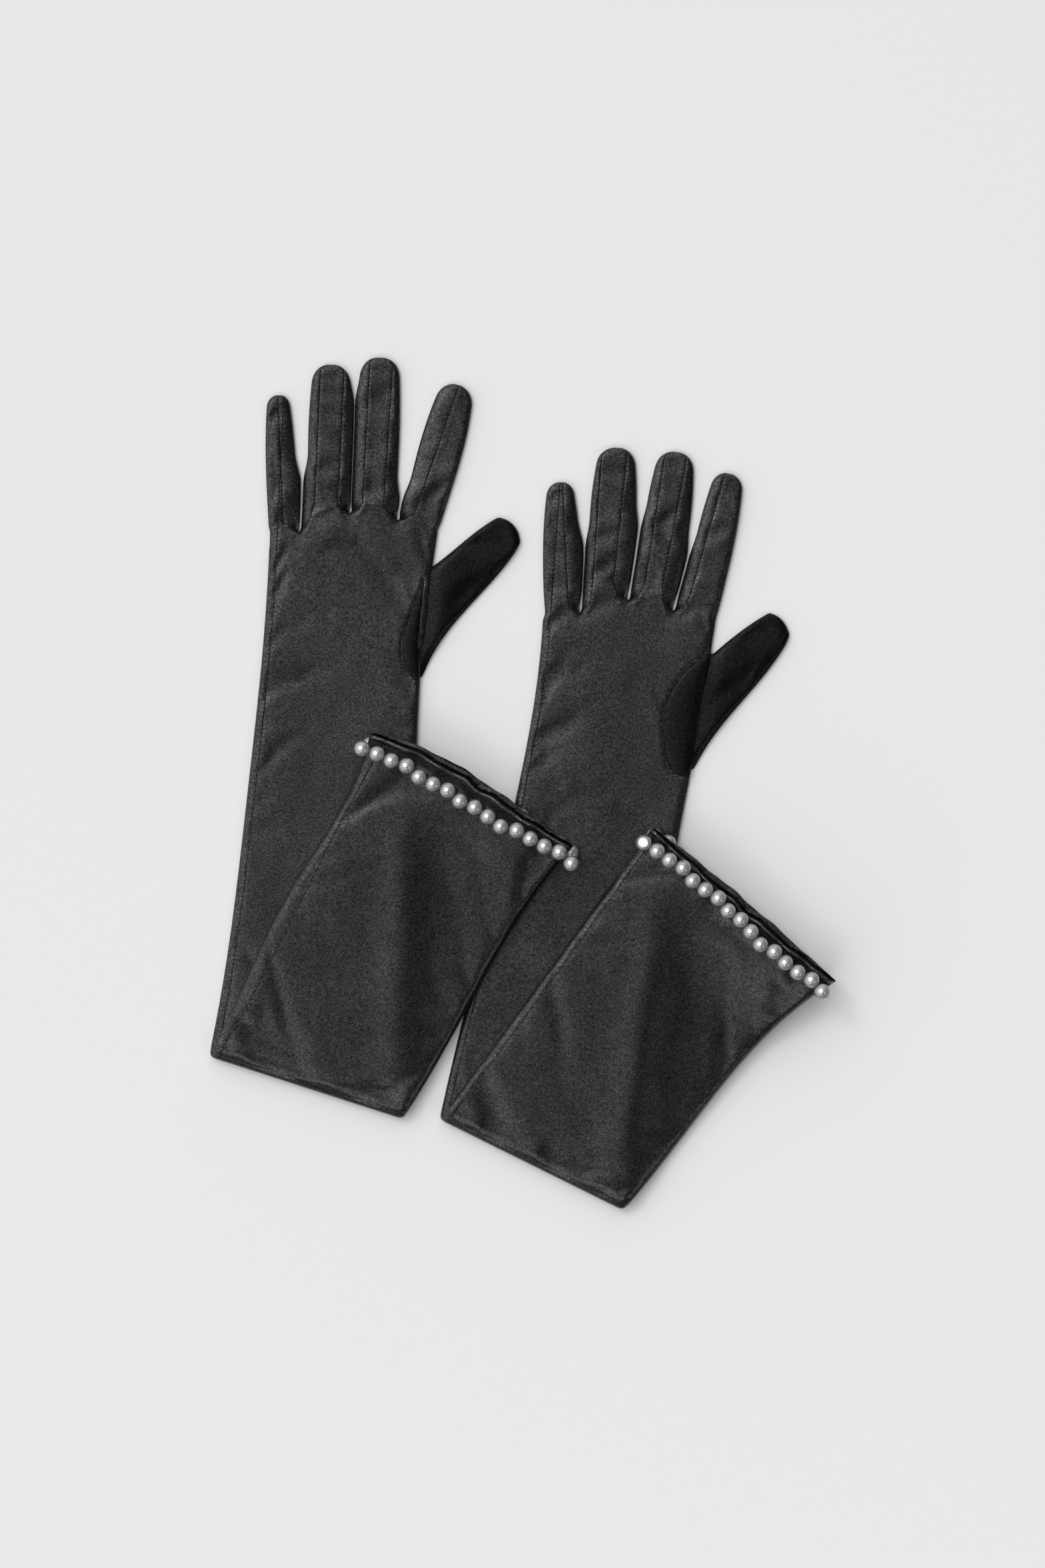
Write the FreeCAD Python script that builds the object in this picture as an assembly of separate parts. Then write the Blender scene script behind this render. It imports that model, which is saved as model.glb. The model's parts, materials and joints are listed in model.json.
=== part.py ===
import FreeCAD, Part
import math
import os

# A pair of long satin evening gloves laid flat, one with its back up and one
# with its palm up.  Each arm is folded back over itself, so the pearl-edged
# cuff lies on top.  Millimetres, +Z up, +Y towards the finger tips.  The origin
# is the middle of the pair's footprint, at table height.

V = FreeCAD.Vector

# ---- driving dimensions -------------------------------------------------
FLAT_HEIGHT = 3.2        # a flattened glove: two layers and the air between
FABRIC = 0.6             # one layer of lined satin
SOFT_EDGE = 0.4          # step that eases the long outer edges
PANEL_GAP = 0.3          # clear line where two sewn panels meet
BEND_GAP = 0.8           # clear line where a finger, thumb or wrist bends
LAYER_GAP = 0.4          # air between the arm and the cuff folded over it
CUFF_TILT = 3.3          # degrees the folded cuff rises, to ride on its pearls
MOUTH_TILT = 1.8         # further degrees between the cuff's two layers
HEM_DEPTH = 9.0          # turned hem inside the mouth
HEM_CLEAR = 0.1          # air between the hem and the sleeve around it
THREAD_RADIUS = 0.15     # a sewing thread
THREAD_CLEAR = 0.05      # air between a thread and the satin under it
SEAM_INSET = 4.0         # side seam, in from the outer edge
GUSSET_SEAM_INSET = 1.0  # thumb seam stitches, out from the gusset's edge
SEAM_POINTS = 12         # points that carry a seam's curve
STITCH_LENGTH = 3.0      # one sewn stitch
STITCH_PITCH = 4.2       # from one stitch to the next
PEARL_RADIUS = 3.85
PEARL_BORE = 0.6         # radius of the drilled hole
PEARL_STRING = 0.25      # radius of the thread through the pearls
PEARL_CLEAR = 0.25       # air between a pearl and the satin it is sewn on
PEARL_TAIL = 4.6         # thread past the middle of each end pearl
PEARLS_PER_ROW = 16
FINGER_ROOT = 13.0       # how far a finger's outline runs down into the hand
FINGER_BEND = 5.0        # the bend line, above the crotch
ORIGIN_SHIFT = V(0.0, -1.4, 0.0)  # brings the pair's middle to the origin

FOLD_HEIGHT = FLAT_HEIGHT + LAYER_GAP / 2
CUFF_BASE = FLAT_HEIGHT + LAYER_GAP
LOWER_SLOPE = math.tan(math.radians(CUFF_TILT))
UPPER_SLOPE = math.tan(math.radians(CUFF_TILT + MOUTH_TILT))
SPLINE_STEP = 4.0        # spacing of the points that carry an inset curve
FAR = 400.0              # reaches beyond the whole object
OVERRUN = 12.0           # extra length that is trimmed off again
CUFF_ROOM = 60.0         # higher than anything in the pair

# Plan shapes.  A finger has its base and tip on the centre line, its widths at
# the base, the middle and near the tip, and its sewn-in side strips: the outer
# one faces the little finger, the inner one faces the thumb, and each has its
# width at the base and at the tip.
LEFT = {
    "fingers": {
        "little": {"base": V(-121.0, 126.0), "tip": V(-124.2, 198.4), "widths": (16.0, 16.2, 12.6),
                   "strips": {"inner": (8.4, 6.6)}},
        "ring": {"base": V(-98.4, 136.5), "tip": V(-97.6, 214.0), "widths": (22.4, 23.6, 20.6),
                 "strips": {"outer": (3.2, 5.0), "inner": (7.0, 3.2)}},
        "middle": {"base": V(-75.0, 136.5), "tip": V(-72.6, 217.6), "widths": (22.0, 23.4, 21.4),
                   "strips": {"outer": (4.0, 5.6), "inner": (6.8, 3.8)}},
        "index": {"base": V(-53.4, 129.5), "tip": V(-33.4, 203.8), "widths": (20.6, 23.6, 20.6),
                  "strips": {"outer": (6.0, 11.5)}},
    },
    "hand_outer_side": [V(-160.1, -138.9), V(-149.6, -80.1), V(-140.1, -2.2), V(-133.3, 60.4),
                        V(-129.2, 121.2)],
    "crotches": [V(-129.2, 121.2), V(-112.5, 125.0), V(-88.6, 133.0), V(-64.4, 132.0), V(-49.6, 109.6)],
    "thumb_seam": [V(-49.6, 109.6), V(-56.8, 88.2), V(-61.9, 71.2), V(-59.6, 57.5), V(-52.2, 51.2)],
    "hand_thumb_side": [V(-52.2, 51.2), V(-53.0, 36.0), V(-55.0, -40.0), V(-60.9, -170.9)],
    "thumb_bend": (V(-51.8, 51.2), V(-49.0, 109.6)),
    "thumb_upper": [V(-49.0, 109.6), V(-34.3, 120.6), V(-22.1, 130.4), V(-13.3, 136.0)],
    "thumb_tip": V(-2.4, 131.6),
    "thumb_lower": [V(-1.4, 121.0), V(-22.1, 95.7), V(-41.8, 72.6), V(-51.8, 51.2)],
    "fold": (V(-160.1, -138.9), V(-60.9, -170.9)),
    "wrist": (V(-135.0, 39.0), V(-50.0, 31.0)),
    "cuff_outer_side": [V(-160.1, -138.9), V(-140.0, -104.6), V(-116.6, -59.0), V(-80.4, 10.0),
                        V(-77.5, 25.7)],
    "cuff_edge": [V(-77.5, 25.7), V(-52.7, 18.9), V(-15.3, -2.2), V(26.2, -31.8)],
    "pearl_line": [V(-81.6, 17.2), V(-52.0, 4.5), V(-26.5, -11.5), V(-5.4, -23.0), V(25.2, -39.3)],
    "cuff_inner_side": [V(26.2, -31.8), V(5.1, -58.3), V(-30.3, -119.2), V(-60.9, -170.9)],
}
RIGHT = {
    "fingers": {
        "little": {"base": V(21.4, 92.0), "tip": V(19.6, 154.0), "widths": (21.0, 20.0, 15.2),
                   "strips": {"inner": (8.4, 6.6)}},
        "ring": {"base": V(44.4, 97.0), "tip": V(48.4, 171.6), "widths": (22.6, 25.0, 21.0),
                 "strips": {"outer": (2.2, 2.6), "inner": (9.6, 5.0)}},
        "middle": {"base": V(69.2, 94.5), "tip": V(78.6, 169.4), "widths": (22.4, 24.8, 21.0),
                   "strips": {"outer": (3.2, 4.8), "inner": (10.0, 4.6)}},
        "index": {"base": V(90.4, 88.5), "tip": V(105.4, 158.4), "widths": (19.2, 20.4, 17.0),
                  "strips": {"outer": (2.6, 6.4)}},
    },
    "hand_outer_side": [V(-42.5, -170.9), V(-28.6, -111.4), V(-4.1, -10.0), V(7.1, 50.5), V(10.2, 84.5)],
    "crotches": [V(10.2, 84.5), V(30.5, 86.0), V(56.6, 91.0), V(79.8, 86.0), V(96.4, 67.0)],
    "thumb_seam": [V(96.4, 67.0), V(82.0, 57.0), V(72.6, 40.0), V(71.6, 20.0), V(76.0, 6.5), V(85.6, 4.0)],
    "hand_thumb_side": [V(85.6, 4.0), V(82.6, -11.0), V(70.0, -90.0), V(51.3, -217.4)],
    "thumb_bend": (V(86.2, 4.0), V(97.0, 67.0)),
    "thumb_upper": [V(97.0, 67.0), V(107.1, 75.4), V(116.0, 81.8), V(126.0, 87.6)],
    "thumb_tip": V(135.6, 82.0),
    "thumb_lower": [V(134.2, 70.0), V(119.0, 49.5), V(99.6, 27.0), V(86.2, 4.0)],
    "fold": (V(-42.5, -170.9), V(51.3, -217.4)),
    "wrist": (V(-6.0, 13.5), V(86.0, -7.5)),
    "cuff_outer_side": [V(-42.5, -170.9), V(12.0, -97.0), V(57.8, -32.8), V(65.6, -21.9)],
    "cuff_edge": [V(65.6, -21.9), V(87.6, -38.4), V(127.0, -71.4), V(159.5, -100.5)],
    "pearl_line": [V(60.9, -30.4), V(80.9, -43.4), V(114.6, -74.0), V(152.3, -104.2)],
    "cuff_inner_side": [V(159.5, -100.5), V(140.0, -114.1), V(103.7, -151.8), V(51.3, -217.4)],
}


# ---- plan geometry ------------------------------------------------------
def unit(start, end):
    step = end - start
    return step * (1.0 / step.Length)


def left_of(direction):
    return V(-direction.y, direction.x, 0)


def run(points):
    """One side of an outline: a straight line, or a smooth curve through its points."""
    if len(points) == 2:
        return Part.makeLine(points[0], points[1])
    curve = Part.BSplineCurve()
    curve.interpolate(points)
    return curve.toShape()


def face_from(sides):
    """The flat face inside sides, each a list of points that starts where the last one ended."""
    return Part.Face(Part.Wire([run(side) for side in sides]))


def polygon(corners):
    return Part.Face(Part.makePolygon(corners + corners[:1]))


def inset(face, amount):
    """The face with its outline moved in by amount, or out where amount is below zero."""
    edges = []
    for edge in face.makeOffset2D(-amount).OuterWire.OrderedEdges:
        if isinstance(edge.Curve, Part.OffsetCurve):
            edge = run(edge.discretize(max(8, int(edge.Length / SPLINE_STEP))))
        edges.append(edge)
    return Part.Face(Part.Wire(edges))


def block(face, low=-1.0, high=FLAT_HEIGHT + 1.0):
    """An upright block over a plan face, from low to high."""
    body = face.extrude(V(0, 0, high - low))
    body.translate(V(0, 0, low))
    return body


def side_block(line, clear=0.0):
    """Everything on the left of a line between two points, less a clear strip beside it."""
    along = unit(*line)
    inward = left_of(along)
    start = line[0] - along * FAR + inward * clear
    end = line[1] + along * FAR + inward * clear
    return block(polygon([start, end, end + inward * FAR, start + inward * FAR]), -10.0, 60.0)


def reverse(line):
    return (line[1], line[0])


# ---- fingers ------------------------------------------------------------
def finger_point(finger, distance, offset):
    """A point distance along a finger from its base, and offset to its thumb side."""
    along = unit(finger["base"], finger["tip"])
    return finger["base"] + along * distance - left_of(along) * offset


def finger_length(finger):
    return (finger["tip"] - finger["base"]).Length


def finger_face(finger):
    """A finger's outline: nearly straight sides and a round end."""
    length = finger_length(finger)
    base_half, middle_half, tip_half = [width / 2 for width in finger["widths"]]
    shoulder = length - tip_half
    stations = [(-FINGER_ROOT, base_half), (0, base_half), (0.5 * length, middle_half), (shoulder, tip_half)]
    outer = [finger_point(finger, distance, -half) for distance, half in stations]
    inner = [finger_point(finger, distance, half) for distance, half in reversed(stations)]
    end = Part.Arc(outer[-1], finger_point(finger, length, 0), inner[0]).toShape()
    root = Part.makeLine(inner[-1], outer[0])
    return Part.Face(Part.Wire([run(outer), end, run(inner), root]))


def finger_bend(finger):
    """The line a finger bends on, with the finger on its left."""
    half = finger["widths"][0] / 2
    return finger_point(finger, FINGER_BEND, -half), finger_point(finger, FINGER_BEND, half)


def strip_line(finger, side):
    """The seam between a finger's main panel and its side strip, with the strip on its left."""
    at_base, at_tip = finger["strips"][side]
    sign = 1 if side == "inner" else -1
    start = finger_point(finger, 0, sign * (finger["widths"][0] / 2 - at_base))
    end = finger_point(finger, finger_length(finger), sign * (finger["widths"][2] / 2 - at_tip))
    return (end, start) if side == "inner" else (start, end)


def finger_panels(glove, shell):
    """The finger sheaths and their side strips, cut from the glove's shell."""
    panels = {}
    for name, finger in glove["fingers"].items():
        around = inset(finger_face(finger), -PANEL_GAP / 2)
        whole = shell.common(block(around)).common(side_block(finger_bend(finger), BEND_GAP / 2))
        sheath = whole
        for side in finger["strips"]:
            line = strip_line(finger, side)
            panels[f"{name}_{side}_fourchette"] = whole.common(side_block(line, PANEL_GAP / 2))
            sheath = sheath.common(side_block(reverse(line), PANEL_GAP / 2))
        panels[f"{name}_finger"] = sheath
    return panels


# ---- fabric shells ------------------------------------------------------
def soft_body(face):
    """A flat body whose long top and bottom edges are eased by a small step."""
    middle = block(face, SOFT_EDGE, FLAT_HEIGHT - SOFT_EDGE)
    return middle.fuse(block(inset(face, SOFT_EDGE), 0, FLAT_HEIGHT))


def shell_of(face):
    """A flattened fabric tube with its hollow inside."""
    return soft_body(face).cut(block(inset(face, FABRIC), FABRIC, FLAT_HEIGHT - FABRIC))


def trank_face(glove):
    """The one-piece trank: arm, palm and back, and four fingers, without the thumb."""
    crotches = glove["crotches"]
    hand = face_from([
        glove["hand_outer_side"],
        *[[start, end] for start, end in zip(crotches, crotches[1:])],
        glove["thumb_seam"],
        glove["hand_thumb_side"],
        list(reverse(glove["fold"])),
    ])
    fingers = [finger_face(finger) for finger in glove["fingers"].values()]
    return hand.fuse(fingers).removeSplitter().Faces[0]


def hand_and_arm(glove, shell):
    """The trank either side of the wrist, less the moving part of each finger."""
    hand = shell.common(side_block(glove["wrist"], BEND_GAP / 2))
    for finger in glove["fingers"].values():
        around = inset(finger_face(finger), -PANEL_GAP / 2)
        beyond = block(around).common(side_block(finger_bend(finger), -BEND_GAP / 2))
        hand = hand.cut(beyond)
    arm = shell.common(side_block(reverse(glove["wrist"]), BEND_GAP / 2))
    arm = arm.common(side_block(glove["fold"], FOLD_HEIGHT))
    return {"hand_trank": hand, "arm_trank": arm}


def thumb_panels(glove):
    """The set-in thumb: its gusset in the hand, and the sheath that bends."""
    upper, tip, lower = glove["thumb_upper"], glove["thumb_tip"], glove["thumb_lower"]
    start, end = glove["thumb_bend"]
    end_arc = Part.Arc(upper[-1], tip, lower[0]).toShape()
    outline = Part.Wire([Part.makeLine(start, end), run(upper), end_arc, run(lower)])
    sheath = shell_of(Part.Face(outline)).common(side_block((end, start), BEND_GAP / 2))
    seam = glove["thumb_seam"]
    gusset = shell_of(inset(face_from([seam, [seam[-1], seam[0]]]), PANEL_GAP))
    return {"thumb_sheath": sheath, "thumb_gusset": gusset}


# ---- folded cuff --------------------------------------------------------
def fold_frame(glove):
    """Across the fold, pointing from its line towards the folded cuff."""
    return left_of(unit(*glove["fold"]))


def fold_distance(glove, point):
    return (point - glove["fold"][0]).dot(fold_frame(glove))


def lower_height(glove, point):
    return CUFF_BASE + fold_distance(glove, point) * LOWER_SLOPE


def upper_height(glove, point):
    return CUFF_BASE + FLAT_HEIGHT + fold_distance(glove, point) * UPPER_SLOPE


def wedge(glove, depth):
    """The rising, widening space of the folded sleeve, thinner by depth at top and bottom."""
    along = unit(*glove["fold"])
    across = fold_frame(glove)
    start = glove["fold"][0] - along * FAR / 2
    near = start - across * OVERRUN
    far = start + across * FAR / 2
    corners = [
        near + V(0, 0, lower_height(glove, near) + depth),
        far + V(0, 0, lower_height(glove, far) + depth),
        far + V(0, 0, upper_height(glove, far) - depth),
        near + V(0, 0, upper_height(glove, near) - depth),
    ]
    return polygon(corners).extrude(along * FAR)


def long_cuff_face(glove):
    """The folded sleeve in plan, run on past its mouth."""
    outer, inner = glove["cuff_outer_side"], glove["cuff_inner_side"]
    outer_end = outer[-1] + unit(outer[-2], outer[-1]) * OVERRUN
    inner_end = inner[0] + unit(inner[1], inner[0]) * OVERRUN
    return face_from([outer, [outer[-1], outer_end], [outer_end, inner_end], [inner_end, inner[0]], inner,
                      list(reverse(glove["fold"]))])


def mouth_block(glove, setback=0.0):
    """Everything on the arm's side of the cuff's edge, less a setback."""
    edge = glove["cuff_edge"]
    along = unit(edge[0], edge[-1])
    away = left_of(along)
    start, end = edge[0] - along * FAR / 2, edge[-1] + along * FAR / 2
    back_start, back_end = start - away * FAR, end - away * FAR
    face = face_from([edge, [edge[-1], end], [end, back_end], [back_end, back_start], [back_start, start],
                      [start, edge[0]]])
    body = block(face, -OVERRUN, CUFF_ROOM)
    body.translate(away * -setback)
    return body


def cuff_band(glove, face, depth):
    """A tube wall one fabric thick, depth inside the folded sleeve's outer surface."""
    outer = block(inset(face, depth) if depth else face, 0, CUFF_ROOM).common(wedge(glove, depth))
    inner = block(inset(face, depth + FABRIC), 0, CUFF_ROOM).common(wedge(glove, depth + FABRIC))
    return outer.cut(inner)


def folded_cuff(glove):
    """The sleeve folded back over the arm, and the hem turned inside its mouth."""
    face = long_cuff_face(glove)
    trim = mouth_block(glove)
    sleeve = cuff_band(glove, face, 0).common(trim).common(side_block(glove["fold"], FOLD_HEIGHT))
    hem = cuff_band(glove, face, FABRIC + HEM_CLEAR).common(trim).cut(mouth_block(glove, HEM_DEPTH))
    return {"folded_sleeve": sleeve, "cuff_hem": hem}


# ---- pearls and threads -------------------------------------------------
def thread(points, radius):
    """A round thread through points."""
    path = run(points)
    ring = Part.Wire(Part.makeCircle(radius, points[0], path.tangentAt(path.FirstParameter)))
    return Part.Wire(path).makePipeShell([ring], True, False)


def pearl_row(glove, front):
    """Centres of one row of pearls, over or under the folded sleeve."""
    centres = []
    for plan in run(glove["pearl_line"]).discretize(PEARLS_PER_ROW):
        if front:
            height = upper_height(glove, plan) + PEARL_CLEAR + PEARL_RADIUS
        else:
            height = lower_height(glove, plan) - PEARL_CLEAR - PEARL_RADIUS
        centres.append(plan + V(0, 0, height))
    return centres


def pearl(centres, index):
    """One drilled pearl, its hole along the row."""
    before = centres[max(index - 1, 0)]
    after = centres[min(index + 1, len(centres) - 1)]
    along = unit(before, after)
    bore = Part.makeCylinder(PEARL_BORE, 4 * PEARL_RADIUS, centres[index] - along * 2 * PEARL_RADIUS, along)
    return Part.makeSphere(PEARL_RADIUS, centres[index]).cut(bore)


def pearl_trim(glove):
    """Both rows of pearls, and the thread through each row."""
    pearls, strings = [], []
    for front in (True, False):
        centres = pearl_row(glove, front)
        pearls += [pearl(centres, index) for index in range(PEARLS_PER_ROW)]
        tail = unit(centres[1], centres[0]) * PEARL_TAIL
        head = unit(centres[-2], centres[-1]) * PEARL_TAIL
        strings.append(thread([centres[0] + tail, *centres, centres[-1] + head], PEARL_STRING))
    return {"pearls": Part.makeCompound(pearls), "pearl_threads": Part.makeCompound(strings)}


def stitches(points, height_of):
    """A row of straight stitches that follow points, lying on a surface of the given height."""
    path = run(points)
    count = int(path.Length / STITCH_PITCH)
    row = []
    for place in path.discretize(count + 1)[:-1]:
        along = path.tangentAt(path.Curve.parameter(place))
        end = place + along * STITCH_LENGTH
        lift = THREAD_CLEAR + THREAD_RADIUS
        start = place + V(0, 0, height_of(place) + lift)
        end = end + V(0, 0, height_of(end) + lift)
        row.append(Part.makeCylinder(THREAD_RADIUS, (end - start).Length, start, end - start))
    return Part.makeCompound(row)


def flat_height(_point):
    return FLAT_HEIGHT


def seam_threads(glove):
    """The side seam along the little-finger edge, and the seam round the thumb gusset."""
    side = run(glove["hand_outer_side"]).discretize(SEAM_POINTS)
    inward = -left_of(unit(side[0], side[-1]))
    line = [point + inward * SEAM_INSET for point in side]
    across = left_of(unit(*glove["wrist"]))
    past_wrist = [(point - glove["wrist"][0]).dot(across) for point in line]
    hand = [point for point, past in zip(line, past_wrist) if past > SEAM_INSET]
    arm = [point for point, past in zip(line, past_wrist)
           if past < -SEAM_INSET and fold_distance(glove, point) > 2 * FOLD_HEIGHT]
    outer = glove["cuff_outer_side"][:-1]
    cuff_inward = -left_of(unit(outer[0], outer[-1]))
    cuff = [point + cuff_inward * SEAM_INSET for point in run(outer).discretize(SEAM_POINTS)[1:-1]]
    thumb_seam = run(glove["thumb_seam"]).discretize(SEAM_POINTS)[1:-2]
    gusset = [point + V(-GUSSET_SEAM_INSET, 0, 0) for point in thumb_seam]
    return {
        "hand_side_seam": stitches(hand, flat_height),
        "arm_side_seam": stitches(arm, flat_height),
        "cuff_side_seam": stitches(cuff, lambda point: upper_height(glove, point)),
        "thumb_seam": stitches(gusset, flat_height),
    }


# ---- the pair -----------------------------------------------------------
def glove_nodes(glove):
    shell = shell_of(trank_face(glove))
    return {
        **hand_and_arm(glove, shell),
        **finger_panels(glove, shell),
        **thumb_panels(glove),
        **folded_cuff(glove),
        **pearl_trim(glove),
        **seam_threads(glove),
    }


def main():
    os.makedirs("parts", exist_ok=True)
    for side, glove in (("left", LEFT), ("right", RIGHT)):
        for name, shape in glove_nodes(glove).items():
            shape.translate(ORIGIN_SHIFT)
            shape.exportStep(f"parts/{side}_{name}.step")


main()
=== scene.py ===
import json
import math

import bmesh
import bpy
import numpy as np
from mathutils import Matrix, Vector, kdtree, noise
from mathutils.bvhtree import BVHTree


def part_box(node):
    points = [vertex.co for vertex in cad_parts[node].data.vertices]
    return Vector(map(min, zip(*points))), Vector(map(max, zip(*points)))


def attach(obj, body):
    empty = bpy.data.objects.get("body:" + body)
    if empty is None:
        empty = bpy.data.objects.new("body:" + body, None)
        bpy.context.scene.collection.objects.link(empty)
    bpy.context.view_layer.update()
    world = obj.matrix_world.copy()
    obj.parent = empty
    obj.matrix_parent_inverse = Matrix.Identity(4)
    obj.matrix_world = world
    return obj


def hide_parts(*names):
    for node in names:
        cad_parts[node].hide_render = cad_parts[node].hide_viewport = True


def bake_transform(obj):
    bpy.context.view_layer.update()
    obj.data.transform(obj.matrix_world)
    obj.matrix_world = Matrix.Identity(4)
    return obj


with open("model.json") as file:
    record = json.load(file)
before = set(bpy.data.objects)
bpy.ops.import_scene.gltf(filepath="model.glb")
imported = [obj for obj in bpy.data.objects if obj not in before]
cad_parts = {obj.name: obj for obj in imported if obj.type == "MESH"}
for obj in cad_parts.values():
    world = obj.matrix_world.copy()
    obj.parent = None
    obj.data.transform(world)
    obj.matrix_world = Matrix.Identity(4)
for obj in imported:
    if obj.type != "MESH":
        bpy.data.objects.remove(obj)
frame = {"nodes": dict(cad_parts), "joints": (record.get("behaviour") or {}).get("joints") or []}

# Looks for a pair of satin evening gloves.  All shapes are worked out in
# millimetres from the fixed frame's nodes and joints, and written in metres.
# Each glove is one sheet of cloth over another: rows of points run across it
# and columns run along it, and both sheets share the points on the outline.

MM = 0.001
FAR = 300.0
SIDES = ("left", "right")
FINGERS = ("little", "ring", "middle", "index")
UP = np.array((0.0, 0.0, 1.0))

MIDDLE = 1.6             # half the CAD gloves' flat height
SKIN = 2.7               # a height inside the CAD gloves' upper skin
EDGE_LIFT = 1.3          # height of a flat part's outline
FLAT_TOP = 3.1           # height of the upper sheet of the hand and arm
FLAT_BOTTOM = 0.15       # height of the lower sheet
LOWEST = 0.05            # no cloth lies lower than this
EDGE_ROUND = 2.8         # distance over which an edge turns over
SLEEVE_ROUND = 1.8       # the same for the folded sleeve
SEAM_FLANK = 0.45        # half the width of a sewn groove
CUP_WIDTHS = (3.0, 5.2)  # the least and most half-width of the sewn U at the bottom of each gap
CROTCH_RISE = 4.6        # the U's depth
CROTCH_LIFT = {"left": (3.0, 5.5, 3.0), "right": (0.5, 2.5, 1.5)}   # the U's bottom over the gap's bottom
TOUCHING = {"left": (28.0, 60.0, 11.0), "right": (33.0, 38.0, 29.0)}   # how far up each pair of fingers meets
OPENING = 15.0           # touching fingers part over this length, above the lengths they touch for
CREASE_WIDTH = 1.5       # how far the shade reaches where two fingers touch
TOUCH_LAP = 0.5          # how hard two touching fingers press together
GROWTH = 0.5             # how far smoothing draws an outline in
SWELL = {"left": 4.5, "right": 0.8}   # how far the sleeve's outer edge bows out
CUFF_FINE = 8.0          # length of fine rows at the cuff
CUFF_STEP = 0.9
CUFF_BEND = 19.0         # the cuff's ruffled edge reaches back this far
BAND = 5.0               # width of the hem's double layer past the pearls, painted darker, partly for the double layer and partly as painted shade
NOTCH_REACH = 16         # rows over which a notch in the hand's edge is bridged
NOTCH_FADE = 9           # how fast a border's notches fade inwards
ROOT_ROWS = 4            # rows between a crotch and its finger's first station
TIP_ROUND = 12.0         # length of a finger's rounded end
ROW_STEP = 2.4
THUMB_COLUMNS = 22
GUSSET_ROWS = 34
GUSSET_ACROSS = (0.0, 0.05, 0.13, 0.25, 0.4, 0.55, 0.7, 0.83, 0.93, 1.0)
GUSSET_CROWN = 0.9
THUMB_TUCK = 5.0         # how far the thumb's base runs in under the hand
THUMB_TOP = 3.0
THUMB_CLEAR = 9.0        # the thumb reaches its full height over this length
GUSSET_FULL = 9.0        # a gusset at least this wide has its full crown
THUMB_BASE = {"left": 1.15, "right": 2.3}    # the thumb's height where it leaves the hand
GUSSET_DROP = {"left": 2.3, "right": 0.8}    # how far the gusset falls to meet it
ROLL_STEPS = 9
SHEET_INSET = 0.1        # how far the sleeve's sheets lie inside the CAD sleeve
PIPING_PAINTED_HIGHLIGHT = 0.7       # how much lighter the cuff's two edges are painted than the satin between them: a painted highlight
MOUTH_GAP = 3.6          # how far the cuff's front edge lies behind its back edge
HEM_DEPTH = 9.0
HEM_THICK = 0.75
HEM_BULGE = 0.32         # how far the turned edge bulges past the cuff
SIM_FRAMES = 20
SIM_CAP = 0.6            # the furthest that the simulation may lift the cloth
BLEND_BELOW = -4.0       # a distance below a finger's hinge, handed on to across_joint
BLEND_ABOVE = 8.0        # and one above it
WRIST_REACH = 9.0
SEAM_RUN_ON = 90.0       # a side seam's line is carried on this far past its ends
POCKET = 2.0             # how deep the side strips tuck in at a crotch
DRAPE_SHIFT = 4.0        # the sleeve starts to sag this far inside the arm's edge
DRAPE = {"left": (3.0, 13.0), "right": (8.0, 26.0)}   # how far the sleeve sags, and over what distance

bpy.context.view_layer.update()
JOINTS = {joint["name"]: joint for joint in frame["joints"]}
NODES = frame["nodes"]


# ---- reading the frame ---------------------------------------------------
def tree_over(objects):
    """A ray-casting tree over objects, in millimetres."""
    points, polygons = [], []
    for obj in objects:
        first = len(points)
        points += [vertex.co / MM for vertex in obj.data.vertices]
        polygons += [[first + index for index in polygon.vertices] for polygon in obj.data.polygons]
    return BVHTree.FromPolygons(points, polygons)


def tree_of(names):
    return tree_over([NODES[name] for name in names])


def hit(tree, origin, direction):
    """Where a ray first meets a tree, or None."""
    place = tree.ray_cast(Vector(origin), Vector(direction).normalized())[0]
    return None if place is None else np.array(place)


def joint_frame(name):
    """A hinge's place, its axis, and the level direction across it."""
    joint = JOINTS[name]
    place = np.array(joint["pos_m"]) / MM
    axis = np.array(joint["axis"])
    return place, axis, np.cross(UP, axis)


def section(name, point, normal):
    """The longest closed outline of a CAD node cut by a plane."""
    cut = bmesh.new()
    cut.from_mesh(NODES[name].data)
    bmesh.ops.scale(cut, vec=(1 / MM, 1 / MM, 1 / MM), verts=cut.verts)
    bmesh.ops.remove_doubles(cut, verts=cut.verts, dist=0.002)
    geometry = cut.verts[:] + cut.edges[:] + cut.faces[:]
    bmesh.ops.bisect_plane(cut, geom=geometry, plane_co=point, plane_no=normal,
                           clear_inner=True, clear_outer=True)
    bmesh.ops.remove_doubles(cut, verts=cut.verts, dist=0.01)
    loops, seen = [], set()
    for start in cut.verts:
        if start in seen:
            continue
        seen.add(start)
        halves = []
        for _ in range(2):
            half, vertex = [], start
            while vertex is not None:
                ahead = [edge.other_vert(vertex) for edge in vertex.link_edges]
                vertex = next((other for other in ahead if other not in seen), None)
                if vertex is not None:
                    seen.add(vertex)
                    half.append(np.array(vertex.co))
            halves.append(half)
        loops.append(np.array(halves[1][::-1] + [np.array(start.co)] + halves[0]))
    cut.free()
    loop = max(loops, key=lambda points: np.linalg.norm(np.diff(points, axis=0), axis=1).sum())
    return loop if turn_sum(loop) < 0 else loop[::-1]


def turn_sum(loop):
    """Twice the signed plan area of a loop: positive when it runs anticlockwise."""
    ahead = np.roll(loop, -1, axis=0)
    return float(np.sum(loop[:, 0] * ahead[:, 1] - ahead[:, 0] * loop[:, 1]))


def unit(vector):
    return vector / np.linalg.norm(vector)


def unit_rows(vectors):
    return vectors / np.linalg.norm(vectors, axis=1)[:, None]


def length_along(points):
    steps = np.linalg.norm(np.diff(points, axis=0), axis=1)
    return np.concatenate(((0.0,), np.cumsum(steps)))


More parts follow.
